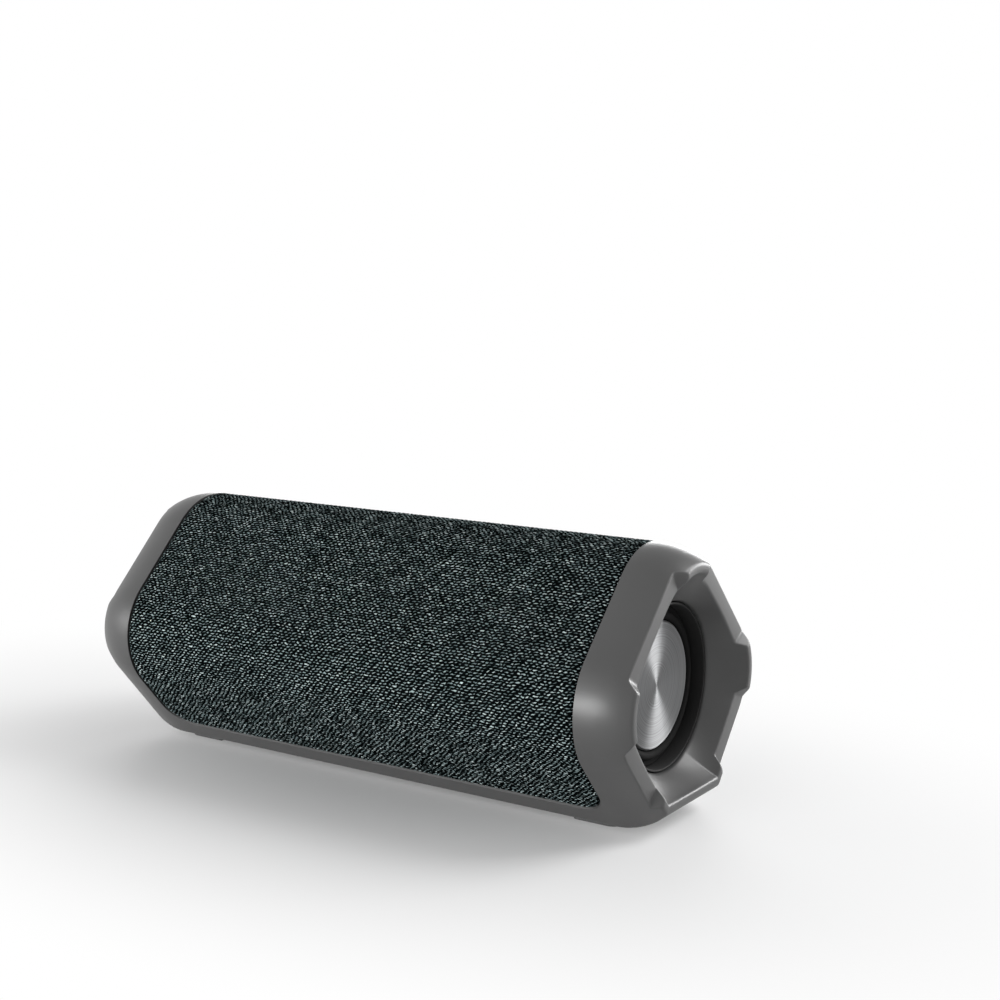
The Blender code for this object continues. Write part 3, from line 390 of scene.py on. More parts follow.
def rim_depth():
    """How far each row's rim is cut back, from its place along the walls."""
    middle = skin(END_INSET + RIM_LIP / 2, END_LIFT + RIM_LIP / 2)
    spots = np.stack([np.abs(middle[:, 0]), middle[:, 1]], axis=-1)
    depth = np.zeros(ROWS)
    below, above = UPPER_RECESS_REACH
    for angle, start, end in ((UPPER, -below, UPPER_LENGTH + above),
                              (LOWER, -LOWER_RECESS_REACH, LOWER_RECESS_LENGTH)):
        normal = polar(0, 0, 1, angle)
        along = np.array([-normal[1], normal[0]]) * math.copysign(1.0, angle)
        offset = spots - np.array(CORNER) - CORNER_RADIUS * normal
        s = offset @ along
        cut = ramp((s - start + RECESS_RAMP) / RECESS_RAMP) * ramp((end + RECESS_RAMP - s) / RECESS_RAMP)
        depth = np.maximum(depth, np.where(offset @ normal > -RECESS_REACH, cut, 0.0))
    return depth * RECESS_DEPTH


def at_x(x, points):
    return np.column_stack([np.broadcast_to(x, ROWS), points])


def rounded(columns, corner, reach, share=0.9, steps=5):
    """Columns with one replaced by a soft bend, which takes at most a share of the way to its neighbours."""
    before, point, after = columns[corner - 1], columns[corner], columns[corner + 1]

    def towards(other):
        gap = np.linalg.norm(other - point, axis=1) + TINY
        return point + (other - point) * (np.minimum(reach, share * gap) / gap)[:, None]

    start, end = towards(before), towards(after)
    bend = [start * (1 - u) ** 2 + 2 * point * u * (1 - u) + end * u ** 2
            for u in np.linspace(0, 1, steps + 1)]
    return columns[:corner] + bend + columns[corner + 1:]


def cap_columns(start):
    """Points of every row of the right end cap, from the outer skin at start over the rim to the inside."""
    depth = rim_depth()
    top = HALF - depth
    columns = [at_x(start, skin(0.0, 0.0))]
    stations = [SLEEVE_HALF + (top - SLEEVE_HALF) * share for share in BARREL_STATIONS]
    columns += [at_x(x, skin(drawn_in(BARREL_RADIUS, x), drawn_in(LIFT_RADIUS, x))) for x in stations]
    outer_edge = len(columns) - 1
    inner_edge = outer_edge + 1
    rim = skin(END_INSET + RIM_LIP, END_LIFT + RIM_LIP) - (0, RADIATOR_Z)
    throat = rim / np.linalg.norm(rim, axis=1, keepdims=True) * THROAT_RADIUS
    first = (HALF - top) / THROAT_DEPTH
    for u in np.linspace(0, 1, FUNNEL_POINTS):
        t = first + (1 - first) * u
        blend = (t ** FUNNEL_CURVE)[:, None]
        columns.append(at_x(HALF - THROAT_DEPTH * t, rim + (throat - rim) * blend + (0, RADIATOR_Z)))
    throat_edge = len(columns) - 1
    columns.append(at_x(SLEEVE_HALF, throat + (0, RADIATOR_Z)))
    columns += [at_x(x, skin(TRAY_WALL, TRAY_FLOOR)) for x in (SLEEVE_HALF, start)]
    softness = TAB_SOFTNESS + (RECESS_SOFTNESS - TAB_SOFTNESS) * depth / RECESS_DEPTH
    columns = rounded(columns, throat_edge, MOUTH_SOFTNESS)
    columns = rounded(columns, inner_edge, MOUTH_SOFTNESS, share=0.5)
    return rounded(columns, outer_edge, softness)


def make_frame():
    """Both end caps and the tray between them, one closed skin with grooves for the feet."""
    climb = np.clip((RISE - SLEEVE_LIP) / SLEEVE_CORNER, 0.0, 1.0)
    start = SLEEVE_HALF - SLEEVE_CORNER * (1 - np.sqrt(1 - (1 - climb) ** 2))
    columns = cap_columns(start)
    in_tray = RISE <= SLEEVE_LIP + MERGE
    bm = bmesh.new()
    grids = []
    for end in (1, -1):
        grids.append([[bm.verts.new((end * c[j][0], c[j][1], c[j][2])) for c in columns]
                      for j in range(ROWS)])
        grid_faces(bm, grids[-1], close_rows=True)
    right, left = grids
    for j in range(ROWS):
        n = (j + 1) % ROWS
        if in_tray[j] and in_tray[n]:
            for k in (0, -1):
                bm.faces.new((left[j][k], right[j][k], right[n][k], left[n][k]))
        else:
            for grid in grids:
                bm.faces.new((grid[j][0], grid[n][0], grid[n][-1], grid[j][-1]))
        if in_tray[j] and not (in_tray[n] and in_tray[j - 1]):
            bm.faces.new((left[j][0], right[j][0], right[j][-1], left[j][-1]))
    piece = new_piece("frame_shell", bm, "speaker", ("frame",), "frame_plastic")
    low, high = FOOT_HEIGHT - GROOVE_OVERSHOOT, FOOT_HEIGHT + FOOT_SEAT + FIT
    grooves = [foot_solid("groove", end, low, high, FIT) for end in (-1, 1)]
    apply_booleans(piece, grooves, "DIFFERENCE")
    return piece


# Feet
def foot_outline(end, margin):
    """(x, y) outline of a U-shaped foot, grown by a margin."""
    radius = FOOT_CORNER + margin
    outer_x, outer_y = FOOT_END + margin, FOOT_WIDTH / 2 + margin
    bar_x, tip_x = FOOT_END - FOOT_BAR - margin, FOOT_END - FOOT_BAR - FOOT_LEG_LENGTH - margin
    inner_y = FOOT_WIDTH / 2 - FOOT_BAR - margin
    half = [(bar_x, inner_y), (tip_x, inner_y), (tip_x, outer_y)]
    half += arc_points((outer_x - radius, outer_y - radius), radius, math.pi / 2, 0, FOOT_STEPS)
    return [(end * x, y) for x, y in half + [(x, -y) for x, y in reversed(half)]]


def foot_solid(name, end, low, high, margin=0.0, body=None, **words):
    outline = foot_outline(end, margin)
    return ringed(name, [[(x, y, z) for x, y in outline] for z in (low, high)], body, **words)


def make_feet():
    pieces = []
    for name, end in (("foot_left", -1), ("foot_right", 1)):
        pad = foot_solid(name + "_pad", end, 0.0, FOOT_HEIGHT + FOOT_SEAT, 0.0, "speaker",
                         replaced=(name,), slot="foot_rubber")
        bevel = pad.modifiers.new("soft_edges", "BEVEL")
        bevel.width = FOOT_SOFTNESS
        bevel.segments = 3
        bevel.limit_method = "ANGLE"
        bevel.angle_limit = BEVEL_ANGLE
        pieces.append(pad)
    return pieces


# Cloth
LOW_SPAN = LOWER_LENGTH - SLEEVE_LIP - FIT
CORNER_SPAN = CORNER_RADIUS * (UPPER - LOWER)
RIDGE_SPAN = RIDGE_RADIUS * (math.pi / 2 - UPPER)
CLOTH_HALF = LOW_SPAN + CORNER_SPAN + UPPER_LENGTH + RIDGE_SPAN
CLOTH_REACH = SLEEVE_HALF - FIT
STRIP_V = LOW_SPAN + CORNER_RADIUS * (STRIP_TILT - LOWER)


def cloth_place(v):
    """(y, z) points and outward normals at distances round the section from the back lip."""
    front = v > CLOTH_HALF
    w = np.where(front, 2 * CLOTH_HALF - v, v)
    ends = np.cumsum([LOW_SPAN, CORNER_SPAN, UPPER_LENGTH])
    angle = np.select([w < ends[0], w < ends[1], w < ends[2]],
                      [LOWER, LOWER + (w - ends[0]) / CORNER_RADIUS, UPPER],
                      UPPER + (w - ends[2]) / RIDGE_RADIUS)
    normal = polar(0, 0, 1, angle)
    low_up = np.array([-math.sin(LOWER), math.cos(LOWER)])
    high_up = np.array([-math.sin(UPPER), math.cos(UPPER)])
    lip = np.array(BASE_EDGE) + low_up * (SLEEVE_LIP + FIT)
    tangent = polar(*CORNER, CORNER_RADIUS, UPPER)
    spots = np.where((w < ends[0])[:, None], lip + w[:, None] * low_up,
                     np.array(CORNER) + CORNER_RADIUS * normal)
    spots = np.where((w >= ends[1])[:, None], tangent + (w - ends[1])[:, None] * high_up, spots)
    spots = np.where((w >= ends[2])[:, None], np.array(RIDGE) + RIDGE_RADIUS * normal, spots)
    flip = np.where(front, -1.0, 1.0)
    spots[:, 0] *= flip
    normal[:, 0] *= flip
    return spots, normal


def cloth_distance(x, v):
    """Signed distance outside the cloth's outline: a rounded rectangle less the control strip's stadium."""
    radius = SLEEVE_CORNER - FIT
    qx, qv = np.abs(x) - (CLOTH_REACH - radius), np.abs(v - CLOTH_HALF) - (CLOTH_HALF - radius)
    rectangle = np.hypot(np.maximum(qx, 0), np.maximum(qv, 0)) + np.minimum(np.maximum(qx, qv), 0) - radius
    half_width = STRIP_HALF_WIDTH + FIT
    along = np.maximum(np.abs(x) - (STRIP_HALF_LENGTH - STRIP_HALF_WIDTH), 0)
    hole = half_width - np.hypot(along, v - STRIP_V)
    return np.maximum(rectangle, hole)


def stray_wave(along, across, fast, faster, slow, swing, drift):
    """Uneven wave between -1 and 1, mainly along one direction."""
    swung = np.sin(along * fast + swing * np.sin(across * slow))
    return (swung + np.sin(along * faster + across * drift)) / 2


def make_cloth():
    """Sheet with one quad per half stitch, its edge drawn to the outline and tucked in."""
    random = np.random.RandomState(SEED)
    columns = int(CLOTH_REACH / (STITCH / 2)) + 1
    count = int(2 * CLOTH_HALF / (YARN / 2)) + 2
    i, j = np.meshgrid(np.arange(-columns, columns + 1), np.arange(count + 1))
    x, v = i * STITCH / 2, (j - 0.5) * YARN / 2
    inside = cloth_distance((x[:-1, :-1] + x[1:, 1:]) / 2, (v[:-1, :-1] + v[1:, 1:]) / 2) < 0
    on_yarn = j % 2 == 1
    raised = on_yarn & ((i + j // 2) % 2 == 0)
    height = np.where(raised, STITCH_OVER, np.where(on_yarn, STITCH_UNDER, YARN_GAP))
    height = height * (STITCH_LEAST + STITCH_SPREAD * random.rand(*i.shape))

    used = np.zeros(x.shape, int)
    for a in (slice(None, -1), slice(1, None)):
        for b in (slice(None, -1), slice(1, None)):
            used[a, b] += inside
    edge = (used > 0) & (used < 4)
    step = 0.00001
    for _ in range(2):
        sd = cloth_distance(x, v)
        gx = (cloth_distance(x + step, v) - cloth_distance(x - step, v)) / (2 * step)
        gv = (cloth_distance(x, v + step) - cloth_distance(x, v - step)) / (2 * step)
        x, v = np.where(edge, x - sd * gx, x), np.where(edge, v - sd * gv, v)
    depth = np.maximum(0.0, -cloth_distance(x, v))
    stray = STRAY * np.clip(depth / STRAY_FADE, 0, 1)
    shift_x = stray * stray_wave(v, x, fast=731, faster=1913, slow=97, swing=1.3, drift=211)
    shift_v = stray * stray_wave(x, v, fast=613, faster=1571, slow=83, swing=1.7, drift=-173)
    lift = height * WEAVE_HEIGHT * np.clip(depth / EDGE_FADE, 0.2, 1)
    tuck = np.clip(1 - depth / TUCK_WIDTH, 0, 1) ** 2
    lift = lift - CLOTH_SINK - TUCK_DEPTH * tuck
    spots, normals = cloth_place((v + shift_v).ravel())
    spots = spots + normals * lift.ravel()[:, None]
    points = np.column_stack([(x + shift_x).ravel(), spots])

    index = -np.ones(x.size, int)
    keep = (used > 0).ravel()
    index[keep] = np.arange(keep.sum())
    number = np.arange(x.size).reshape(x.shape)
    corners = np.stack([number[:-1, :-1], number[:-1, 1:], number[1:, 1:], number[1:, :-1]], axis=-1)[inside]
    mesh = bpy.data.meshes.new("woven_cover")
    mesh.from_pydata(points[keep].tolist(), [], index[corners][:, ::-1].tolist())
    layer = mesh.uv_layers.new(name="threads")
    flat = np.column_stack([(i / 2).ravel(), (j / 2).ravel()])[corners[:, ::-1].ravel()]
    layer.data.foreach_set("uv", flat.ravel())
    mesh.update()
    mesh.shade_smooth()
    piece = add_object("woven_cover", mesh)
    thick = piece.modifiers.new("cloth_thickness", "SOLIDIFY")
    thick.thickness = CLOTH_THICKNESS - 2 * CLOTH_SINK - TUCK_DEPTH / 3
    thick.offset = -1.0
    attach(piece, "speaker")
    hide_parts("fabric_sleeve")
    return piece


# Turned pieces
def turned_point(place, radius, angle, height):
    return place @ Vector((radius * math.cos(angle), radius * math.sin(angle), height))


def turned_piece(name, profile, place, body, start=0.0, turn=2 * math.pi, steps=ROUND_STEPS, **words):
    """Revolves a closed (radius, height) outline about a placement's Z, all round or for part of a turn."""
    full = turn >= 2 * math.pi
    rings = []
    for k in range(steps if full else steps + 1):
        angle = start + turn * k / steps
        rings.append([turned_point(place, r, angle, h) for r, h in profile])
    return ringed(name, rings, body, full, **words)


def roll_outline(edge, top, centre, radius, lip_in, lip_top):
    """(radius, height) outline of a rubber roll: flat edge, half-round roll, and a lip on the moving part."""
    lip_out, inner = centre - radius, top - RUBBER
    outline = [(edge, top)] + arc_points((centre, top), radius, 0, math.pi, ROLL_STEPS)
    outline += [(lip_out, lip_top), (lip_in, lip_top)]
    outline += [(lip_in, lip_top - RUBBER), (lip_out + RUBBER, lip_top - RUBBER)]
    outline += arc_points((centre, inner + RUBBER / 2), radius - RUBBER, math.pi, 0, ROLL_STEPS)
    return outline + [(centre + radius - RUBBER / 2, inner), (edge, inner)]


def make_roll(name, outline, place, reach, node):
    """Rubber roll in wedges round the placement's axis, baked in place and riding on no body."""
    wedges = []
    turn = 2 * math.pi / WEDGES
    for k in range(WEDGES):
        wedge = turned_piece(f"{name}_{k + 1}", outline, place, None, turn * k, turn, WEDGE_STEPS,
                             replaced=(node,), slot="black_rubber")
        start, end = (tuple(turned_point(place, r, turn * (k + 0.5), outline[0][1])) for r in reach)
        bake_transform(wedge)
        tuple(start)
        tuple(end)
        wedges.append(wedge)
    return wedges


def make_driver_roll(side, end):
    """Rubber roll round a driver's cone, behind the front upper wall."""
    out = Vector(polar(0, 0, 1, UPPER))
    middle = (Vector(CORNER) + CORNER_RADIUS * out + Vector(RIDGE) + RIDGE_RADIUS * out) / 2
    place = axes_place((1, 0, 0), (0, out.y, out.x), (0, -out.x, out.y),
                       (end * DRIVER_X, -middle.x, middle.y))
    outline = roll_outline(DRIVER_EDGE, DRIVER_RUBBER_TOP, DRIVER_ROLL_CENTRE, DRIVER_ROLL_RADIUS,
                           DRIVER_LIP_IN, DRIVER_LIP_TOP)
    return make_roll("driver_roll_" + side, outline, place, DRIVER_REACH,
                     "driver_surround_" + side)


def make_radiator(side, end):
    """Spun disc, its ring, and the rubber roll in wedges."""
    body = "radiator_" + side
    place = axes_place((0, 1, 0), (0, 0, 1), (end, 0, 0), (0, 0, RADIATOR_Z))
    profile = []
    flat = DISC_RADIUS - DISC_CHAMFER
    count = int(flat / GROOVE_PITCH * 2)
    for k in range(count + 1):
        dip = GROOVE_DEPTH if k % 2 and k < count else 0.0
        profile.append((flat * k / count, DISC_FACE - dip))
    profile += [(DISC_RADIUS - DISC_CHAMFER * 0.2, DISC_FACE - DISC_CHAMFER * 0.8),
                (DISC_RADIUS, DISC_FACE - DISC_CHAMFER * 1.3), (DISC_RADIUS, DISC_UNDER),
                (DISC_NECK_RADIUS, DISC_UNDER), (DISC_NECK_RADIUS, DISC_NECK_END), (0.0, DISC_NECK_END)]
    disc = turned_piece("spun_disc_" + side, profile, place, body,
                        replaced=("radiator_disc_" + side,), slot="spun_aluminium")

    top, soft = COLLAR_TOP, COLLAR_SOFTNESS
    ring = [(COLLAR_OUT, top - soft), (COLLAR_OUT, LEDGE_LOW), (LEDGE_IN, LEDGE_LOW), (LEDGE_IN, LEDGE_TOP),
            (COLLAR_IN, LEDGE_TOP), (COLLAR_IN, top - soft), (COLLAR_IN + soft * 0.4, top - soft * 0.3),
            ((COLLAR_IN + COLLAR_OUT) / 2, top), (COLLAR_OUT - soft * 0.4, top - soft * 0.3)]
    collar = turned_piece("throat_ring_" + side, ring, place, "speaker",
                          replaced=("radiator_ring_" + side,), slot="inner_plastic")

    outline = roll_outline(COLLAR_IN - FIT, RUBBER_TOP, ROLL_CENTRE, ROLL_RADIUS, LIP_IN, LIP_TOP)
    wedges = make_roll("rubber_roll_" + side, outline, place, WEDGE_REACH, "radiator_surround_" + side)
    return disc, collar, wedges


# Control strip, wrapped round the back corner
def strip_point(s, x, rise):
    """Point at a distance round the corner from the strip's middle line, and a rise over the skin."""
    return (x, *polar(*CORNER, CORNER_RADIUS + rise, STRIP_TILT + s / CORNER_RADIUS))


def strip_ends(start, end, half_width, round_start, round_end):
    """The x reach of a strip at a distance round the corner, with its corners rounded by given radii."""

    def reach(s):
        def shrink(radius):
            over = min(max(0.0, abs(s) - (half_width - radius)), radius)
            return radius - math.sqrt(max(0.0, radius * radius - over * over))

        return start + shrink(round_start), end - shrink(round_end)

    return reach


def spread(low, high, steps):
    """Places from low to high, close together near both ends and with even steps between."""
    scale = min(1.0, EDGE_SHARE * (high - low) / EDGE_OFFSETS[-1])
    edges = [scale * offset for offset in EDGE_OFFSETS]
    middle = np.linspace(low + edges[-1], high - edges[-1], steps + 1)
    return [low + e for e in edges[:-1]] + list(middle) + [high - e for e in reversed(edges[:-1])]


def soft_plate(name, half_width, reach, low, high, edge, body, **words):
    """Plate wrapped round the corner with a soft upper edge."""
    rows = spread(-half_width, half_width, math.ceil(2 * half_width / PLATE_STEP))
    ends = [reach(s) for s in rows]
    outline = np.array([(s, x0) for s, (x0, _) in zip(rows, ends)]
                       + [(s, x1) for s, (_, x1) in zip(rows[::-1], ends[::-1])])
    span = np.roll(outline, -1, axis=0) - outline

    def depth(s, x):
        offset = np.array((s, x)) - outline
        t = np.clip((offset * span).sum(1) / np.maximum((span * span).sum(1), TINY), 0, 1)
        return np.linalg.norm(offset - span * t[:, None], axis=1).min()

    steps = math.ceil(max(x1 - x0 for x0, x1 in ends) / PLATE_STEP)
    bm = bmesh.new()
    upper, lower = [], []
    for s, (x0, x1) in zip(rows, ends):
        xs = spread(x0, x1, steps)
        top = []
        for x in xs:
            d = min(depth(s, x), edge)
            rise = high - edge + math.sqrt(max(0.0, edge * edge - (edge - d) ** 2))
            top.append(bm.verts.new(strip_point(s, x, rise)))
        upper.append(top)
        lower.append([bm.verts.new(strip_point(s, x, low)) for x in xs])
    grid_faces(bm, upper)
    grid_faces(bm, lower)
    for k in (0, -1):
        grid_faces(bm, [upper[k], lower[k]])
        grid_faces(bm, [[row[k] for row in upper], [row[k] for row in lower]])
    return new_piece(name, bm, body, **words)


def make_panel():
    """Rim swept round the strip, with the bar between flap and keys and the sockets' pocket floor."""
    soft, over, under = RIM_SOFTNESS, STRIP_PROUD, PANEL_UNDER
    section = [(0.0, under)] + arc_points((soft, over - soft), soft, math.pi, math.pi / 2, SOFT_STEPS)
    section += arc_points((STRIP_LIP - soft, over - soft), soft, math.pi / 2, 0, SOFT_STEPS)
    section += [(STRIP_LIP, under)]
    rings = []
    for offset, rise in section:
        loop = stadium_loop(STRIP_HALF_WIDTH - offset, STRIP_HALF_LENGTH - offset, RIM_POINTS)
        ring = []
        for (s0, x0), (s1, x1) in zip(loop, loop[1:] + loop[:1]):
            count = max(1, math.ceil(abs(x1 - x0) / RIM_STEP))
            ring += [strip_point(s0 + (s1 - s0) * k / count, x0 + (x1 - x0) * k / count, rise)
                     for k in range(count)]
        rings.append(ring)
    panel = ringed("strip_rim", rings, "speaker", True, replaced=("control_panel",), slot="strip_plastic")
    inner = OPEN_HALF_WIDTH + JOIN
    bar = soft_plate("bar", inner, lambda s: (FLAP_END, KEYS_START), under + 2 * APART, over - APART, soft,
                     None)
    floor_reach = strip_ends(FLAP_START - JOIN, FLAP_END + 2 * JOIN, inner, inner, 0.0)
    floor = soft_plate("floor", inner, floor_reach, under + APART, POCKET_FLOOR, FLOOR_SOFTNESS, None)
    rooms = [socket_room(FLAP_END - USB_OFFSET, *USB_ROOM),
             socket_room(FLAP_END - AUX_OFFSET, 2 * AUX_ROOM_RADIUS, 2 * AUX_ROOM_RADIUS)]
    apply_booleans(floor, rooms, "DIFFERENCE")
    apply_booleans(panel, [bar, floor], "UNION")
    return panel


def socket_room(x, width, height):
    """Cutter for a socket's opening in the pocket floor."""
    normal = Vector((0, *polar(0, 0, 1, STRIP_TILT)))
    place = axes_place((1, 0, 0), (0, normal.z, -normal.y), normal,
                       Vector((0, *CORNER)) + normal * CORNER_RADIUS)
    outline = stadium_loop(height / 2, width / 2, ROOM_POINTS)
    return ringed("room", [[place @ Vector((x + along, side, z)) for side, along in outline]
                           for z in (PANEL_UNDER - ROOM_OVERSHOOT, 0.0)], None)


def make_flap():
    half_width = OPEN_HALF_WIDTH - FLAP_GAP
    reach = strip_ends(FLAP_START + FLAP_GAP, FLAP_END - FLAP_GAP, half_width, half_width, FLAP_CORNER)
    return soft_plate("flap_cover", half_width, reach, STRIP_PROUD - FLAP_THICKNESS, STRIP_PROUD,
                      FLAP_SOFTNESS, "port_flap", replaced=("port_flap",), slot="strip_plastic")


def make_keys():
    pieces = []
    half_width = OPEN_HALF_WIDTH - KEY_GAP
    for number, name in enumerate(KEY_NAMES):
        start = KEYS_START + KEY_GAP + number * (KEY_LENGTH + KEY_SPACING)
        end = start + KEY_LENGTH
        last = number == len(KEY_NAMES) - 1
        reach = strip_ends(start, end, half_width, KEY_CORNER, half_width if last else KEY_CORNER)
        pieces.append(soft_plate(name + "_cap", half_width, reach, KEY_UNDER, STRIP_PROUD + KEY_PROUD,
                                 KEY_SOFTNESS, name, replaced=(name,), slot="strip_plastic"))
        pieces.append(make_mark(name, (start + end) / 2))
    return pieces


def mark_section(low, high):
    """Four corners of a raised line between two edges."""
    return (low, MARK_LOW), (high, MARK_LOW), (high, MARK_HIGH), (low, MARK_HIGH)


def mark_rows(bm, x, rows):
    """Raised mark from (distance round the corner, x start, x end) rows."""
    ring_faces(bm, [[strip_point(s, x + px, rise) for px, rise in mark_section(x0, x1)]
                    for s, x0, x1 in rows])


def mark_bar(bm, x, s0, s1, x0, x1):
    mark_rows(bm, x, [(s, x0, x1) for s in np.linspace(s0, s1, MARK_POINTS)])


def mark_ring(bm, x, radius, start, end):
    closed = end - start >= 2 * math.pi
    rings = []
    for k in range(RING_STEPS if closed else RING_STEPS + 1):
        a = start + (end - start) * k / RING_STEPS
        rings.append([strip_point(r * math.sin(a), x + r * math.cos(a), rise)
                      for r, rise in mark_section(radius - MARK_LINE, radius + MARK_LINE)])
    ring_faces(bm, rings, closed)


def make_mark(name, x):
    """Generic raised sign on a key."""
    size, line = MARK_SIZE, MARK_LINE
    bm = bmesh.new()
    if name in ("key_plus", "key_minus"):
        mark_bar(bm, x, -line, line, -size, size)
    if name == "key_plus":
        mark_bar(bm, x, line, size, -line, line)
        mark_bar(bm, x, -size, -line, -line, line)
    if name == "key_play":
        mark_rows(bm, x, [(s, size + line - PLAY_SLOPE * (size - abs(s)) - PLAY_TIP, size + line)
                          for s in np.linspace(-size, size, PLAY_POINTS)])
        for offset in PAUSE_BARS:
            mark_bar(bm, x, -size, size, offset - line * PAUSE_LINE, offset + line * PAUSE_LINE)
    if name == "key_mode":
        mark_ring(bm, x, size, 0.0, 2 * math.pi)
    if name == "key_power":
        mark_ring(bm, x, size, *POWER_ARC)
        mark_bar(bm, x, POWER_BAR_START, size + line, -line, line)
    return new_piece(name + "_mark", bm, name, slot="strip_plastic", merge=0)


# Materials
class Tree:
    """Short ways to add and join the nodes of a material or a world."""

    def __init__(self, owner):
        owner.use_nodes = True
        self.owner = owner
        self.nodes, self.links = owner.node_tree.nodes, owner.node_tree.links
        self.shader = self.nodes.get("Principled BSDF")

    def set(self, socket, value):
        """Joins a socket, or sets it to a constant."""
        if isinstance(value, bpy.types.NodeSocket):
            self.links.new(value, socket)
        else:
            socket.default_value = value

    def add(self, kind, inputs=(), **settings):
        """New node with its settings and (socket, value) inputs."""
        node = self.nodes.new(kind)
        for key, value in settings.items():
            setattr(node, key, value)
        for key, value in inputs:
            self.set(node.inputs[key], value)
        return node

    def put(self, name, value):
        """Joins or sets one of the shader's sockets."""
        self.set(self.shader.inputs[name], value)

    def math(self, operation, a, b=0.0, clamp=False):
        return self.add("ShaderNodeMath", ((0, a), (1, b)), operation=operation, use_clamp=clamp).outputs[0]

    def plus(self, a, b):
        return self.math("ADD", a, b)

    def times(self, a, b, clamp=False):
        return self.math("MULTIPLY", a, b, clamp)

    def apart(self, vector):
        """The three parts of a vector."""
        return self.add("ShaderNodeSeparateXYZ", ((0, vector),)).outputs

    def noise(self, vector, scale, detail=3.0, roughness=0.55):
        node = self.add("ShaderNodeTexNoise", (("Vector", vector), ("Scale", scale), ("Detail", detail),
                                               ("Roughness", roughness)))
        return node.outputs["Fac"]

    def place(self, stretch=(1, 1, 1)):
        """Object coordinates in metres, stretched."""
        spot = self.add("ShaderNodeTexCoord").outputs["Object"]
        return self.add("ShaderNodeMapping", (("Vector", spot), ("Scale", stretch))).outputs["Vector"]

    def ramp(self, value, stops):
        node = self.add("ShaderNodeValToRGB", (("Fac", value),))
        elements = node.color_ramp.elements
        while len(elements) < len(stops):
            elements.new(1.0)
        for element, (position, colour) in zip(elements, stops):
            element.position = position
            element.color = (*colour, 1.0)
        return node.outputs["Color"]

    def mix(self, factor, a, b):
        a, b = (value if isinstance(value, bpy.types.NodeSocket) else (*value, 1.0) for value in (a, b))
        return self.add("ShaderNodeMix", (("Factor", factor), (6, a), (7, b)), data_type="RGBA").outputs[2]

    def bump(self, height, strength, distance):
        inputs = (("Strength", strength), ("Distance", distance), ("Height", height))
        self.put("Normal", self.add("ShaderNodeBump", inputs).outputs["Normal"])

    def scaled(self, value, low, high):
        """A value from 0 to 1 brought to another range."""
        node = self.add("ShaderNodeMapRange", (("Value", value), ("To Min", low), ("To Max", high)))
        return node.outputs["Result"]

    def step(self, value, low, high, least=0.0):
        """Smooth step from least to 1 while a value goes from low to high."""
        inputs = (("Value", value), ("From Min", low), ("From Max", high), ("To Min", least))
        return self.add("ShaderNodeMapRange", inputs, interpolation_type="SMOOTHSTEP").outputs["Result"]

    def show(self, output, factor, first, second):
        """Ends the tree in a mix of two shaders."""
        node = self.add("ShaderNodeMixShader", enumerate((factor, first, second)))
        self.links.new(node.outputs[0], self.nodes[output].inputs["Surface"])


def material_tree(name):
    return Tree(bpy.data.materials.new(name))


def shade(colour, factor):
    return tuple(c * factor for c in colour)


def grey(level):
    return (level, level, level)


def moulded(name, colour, roughness, grain=2600.0, depth=0.00002, specular=0.5):
    """Moulded plastic or rubber: fine even grain, slight cloudiness in colour and gloss."""
    tree = material_tree(name)
    place = tree.place()
    cloud = tree.noise(place, 60.0, 4.0)
    fine = tree.noise(place, grain, 2.0)
    mottle = tree.plus(tree.times(cloud, 0.7), tree.times(fine, 0.3))
    tree.put("Base Color", tree.mix(mottle, shade(colour, 0.90), shade(colour, 1.08)))
    tree.put("Roughness", tree.scaled(tree.noise(place, 140.0, 5.0), roughness - 0.06, roughness + 0.06))
    tree.put("Specular IOR Level", specular)
    tree.bump(fine, 0.35, depth)
    return tree.owner


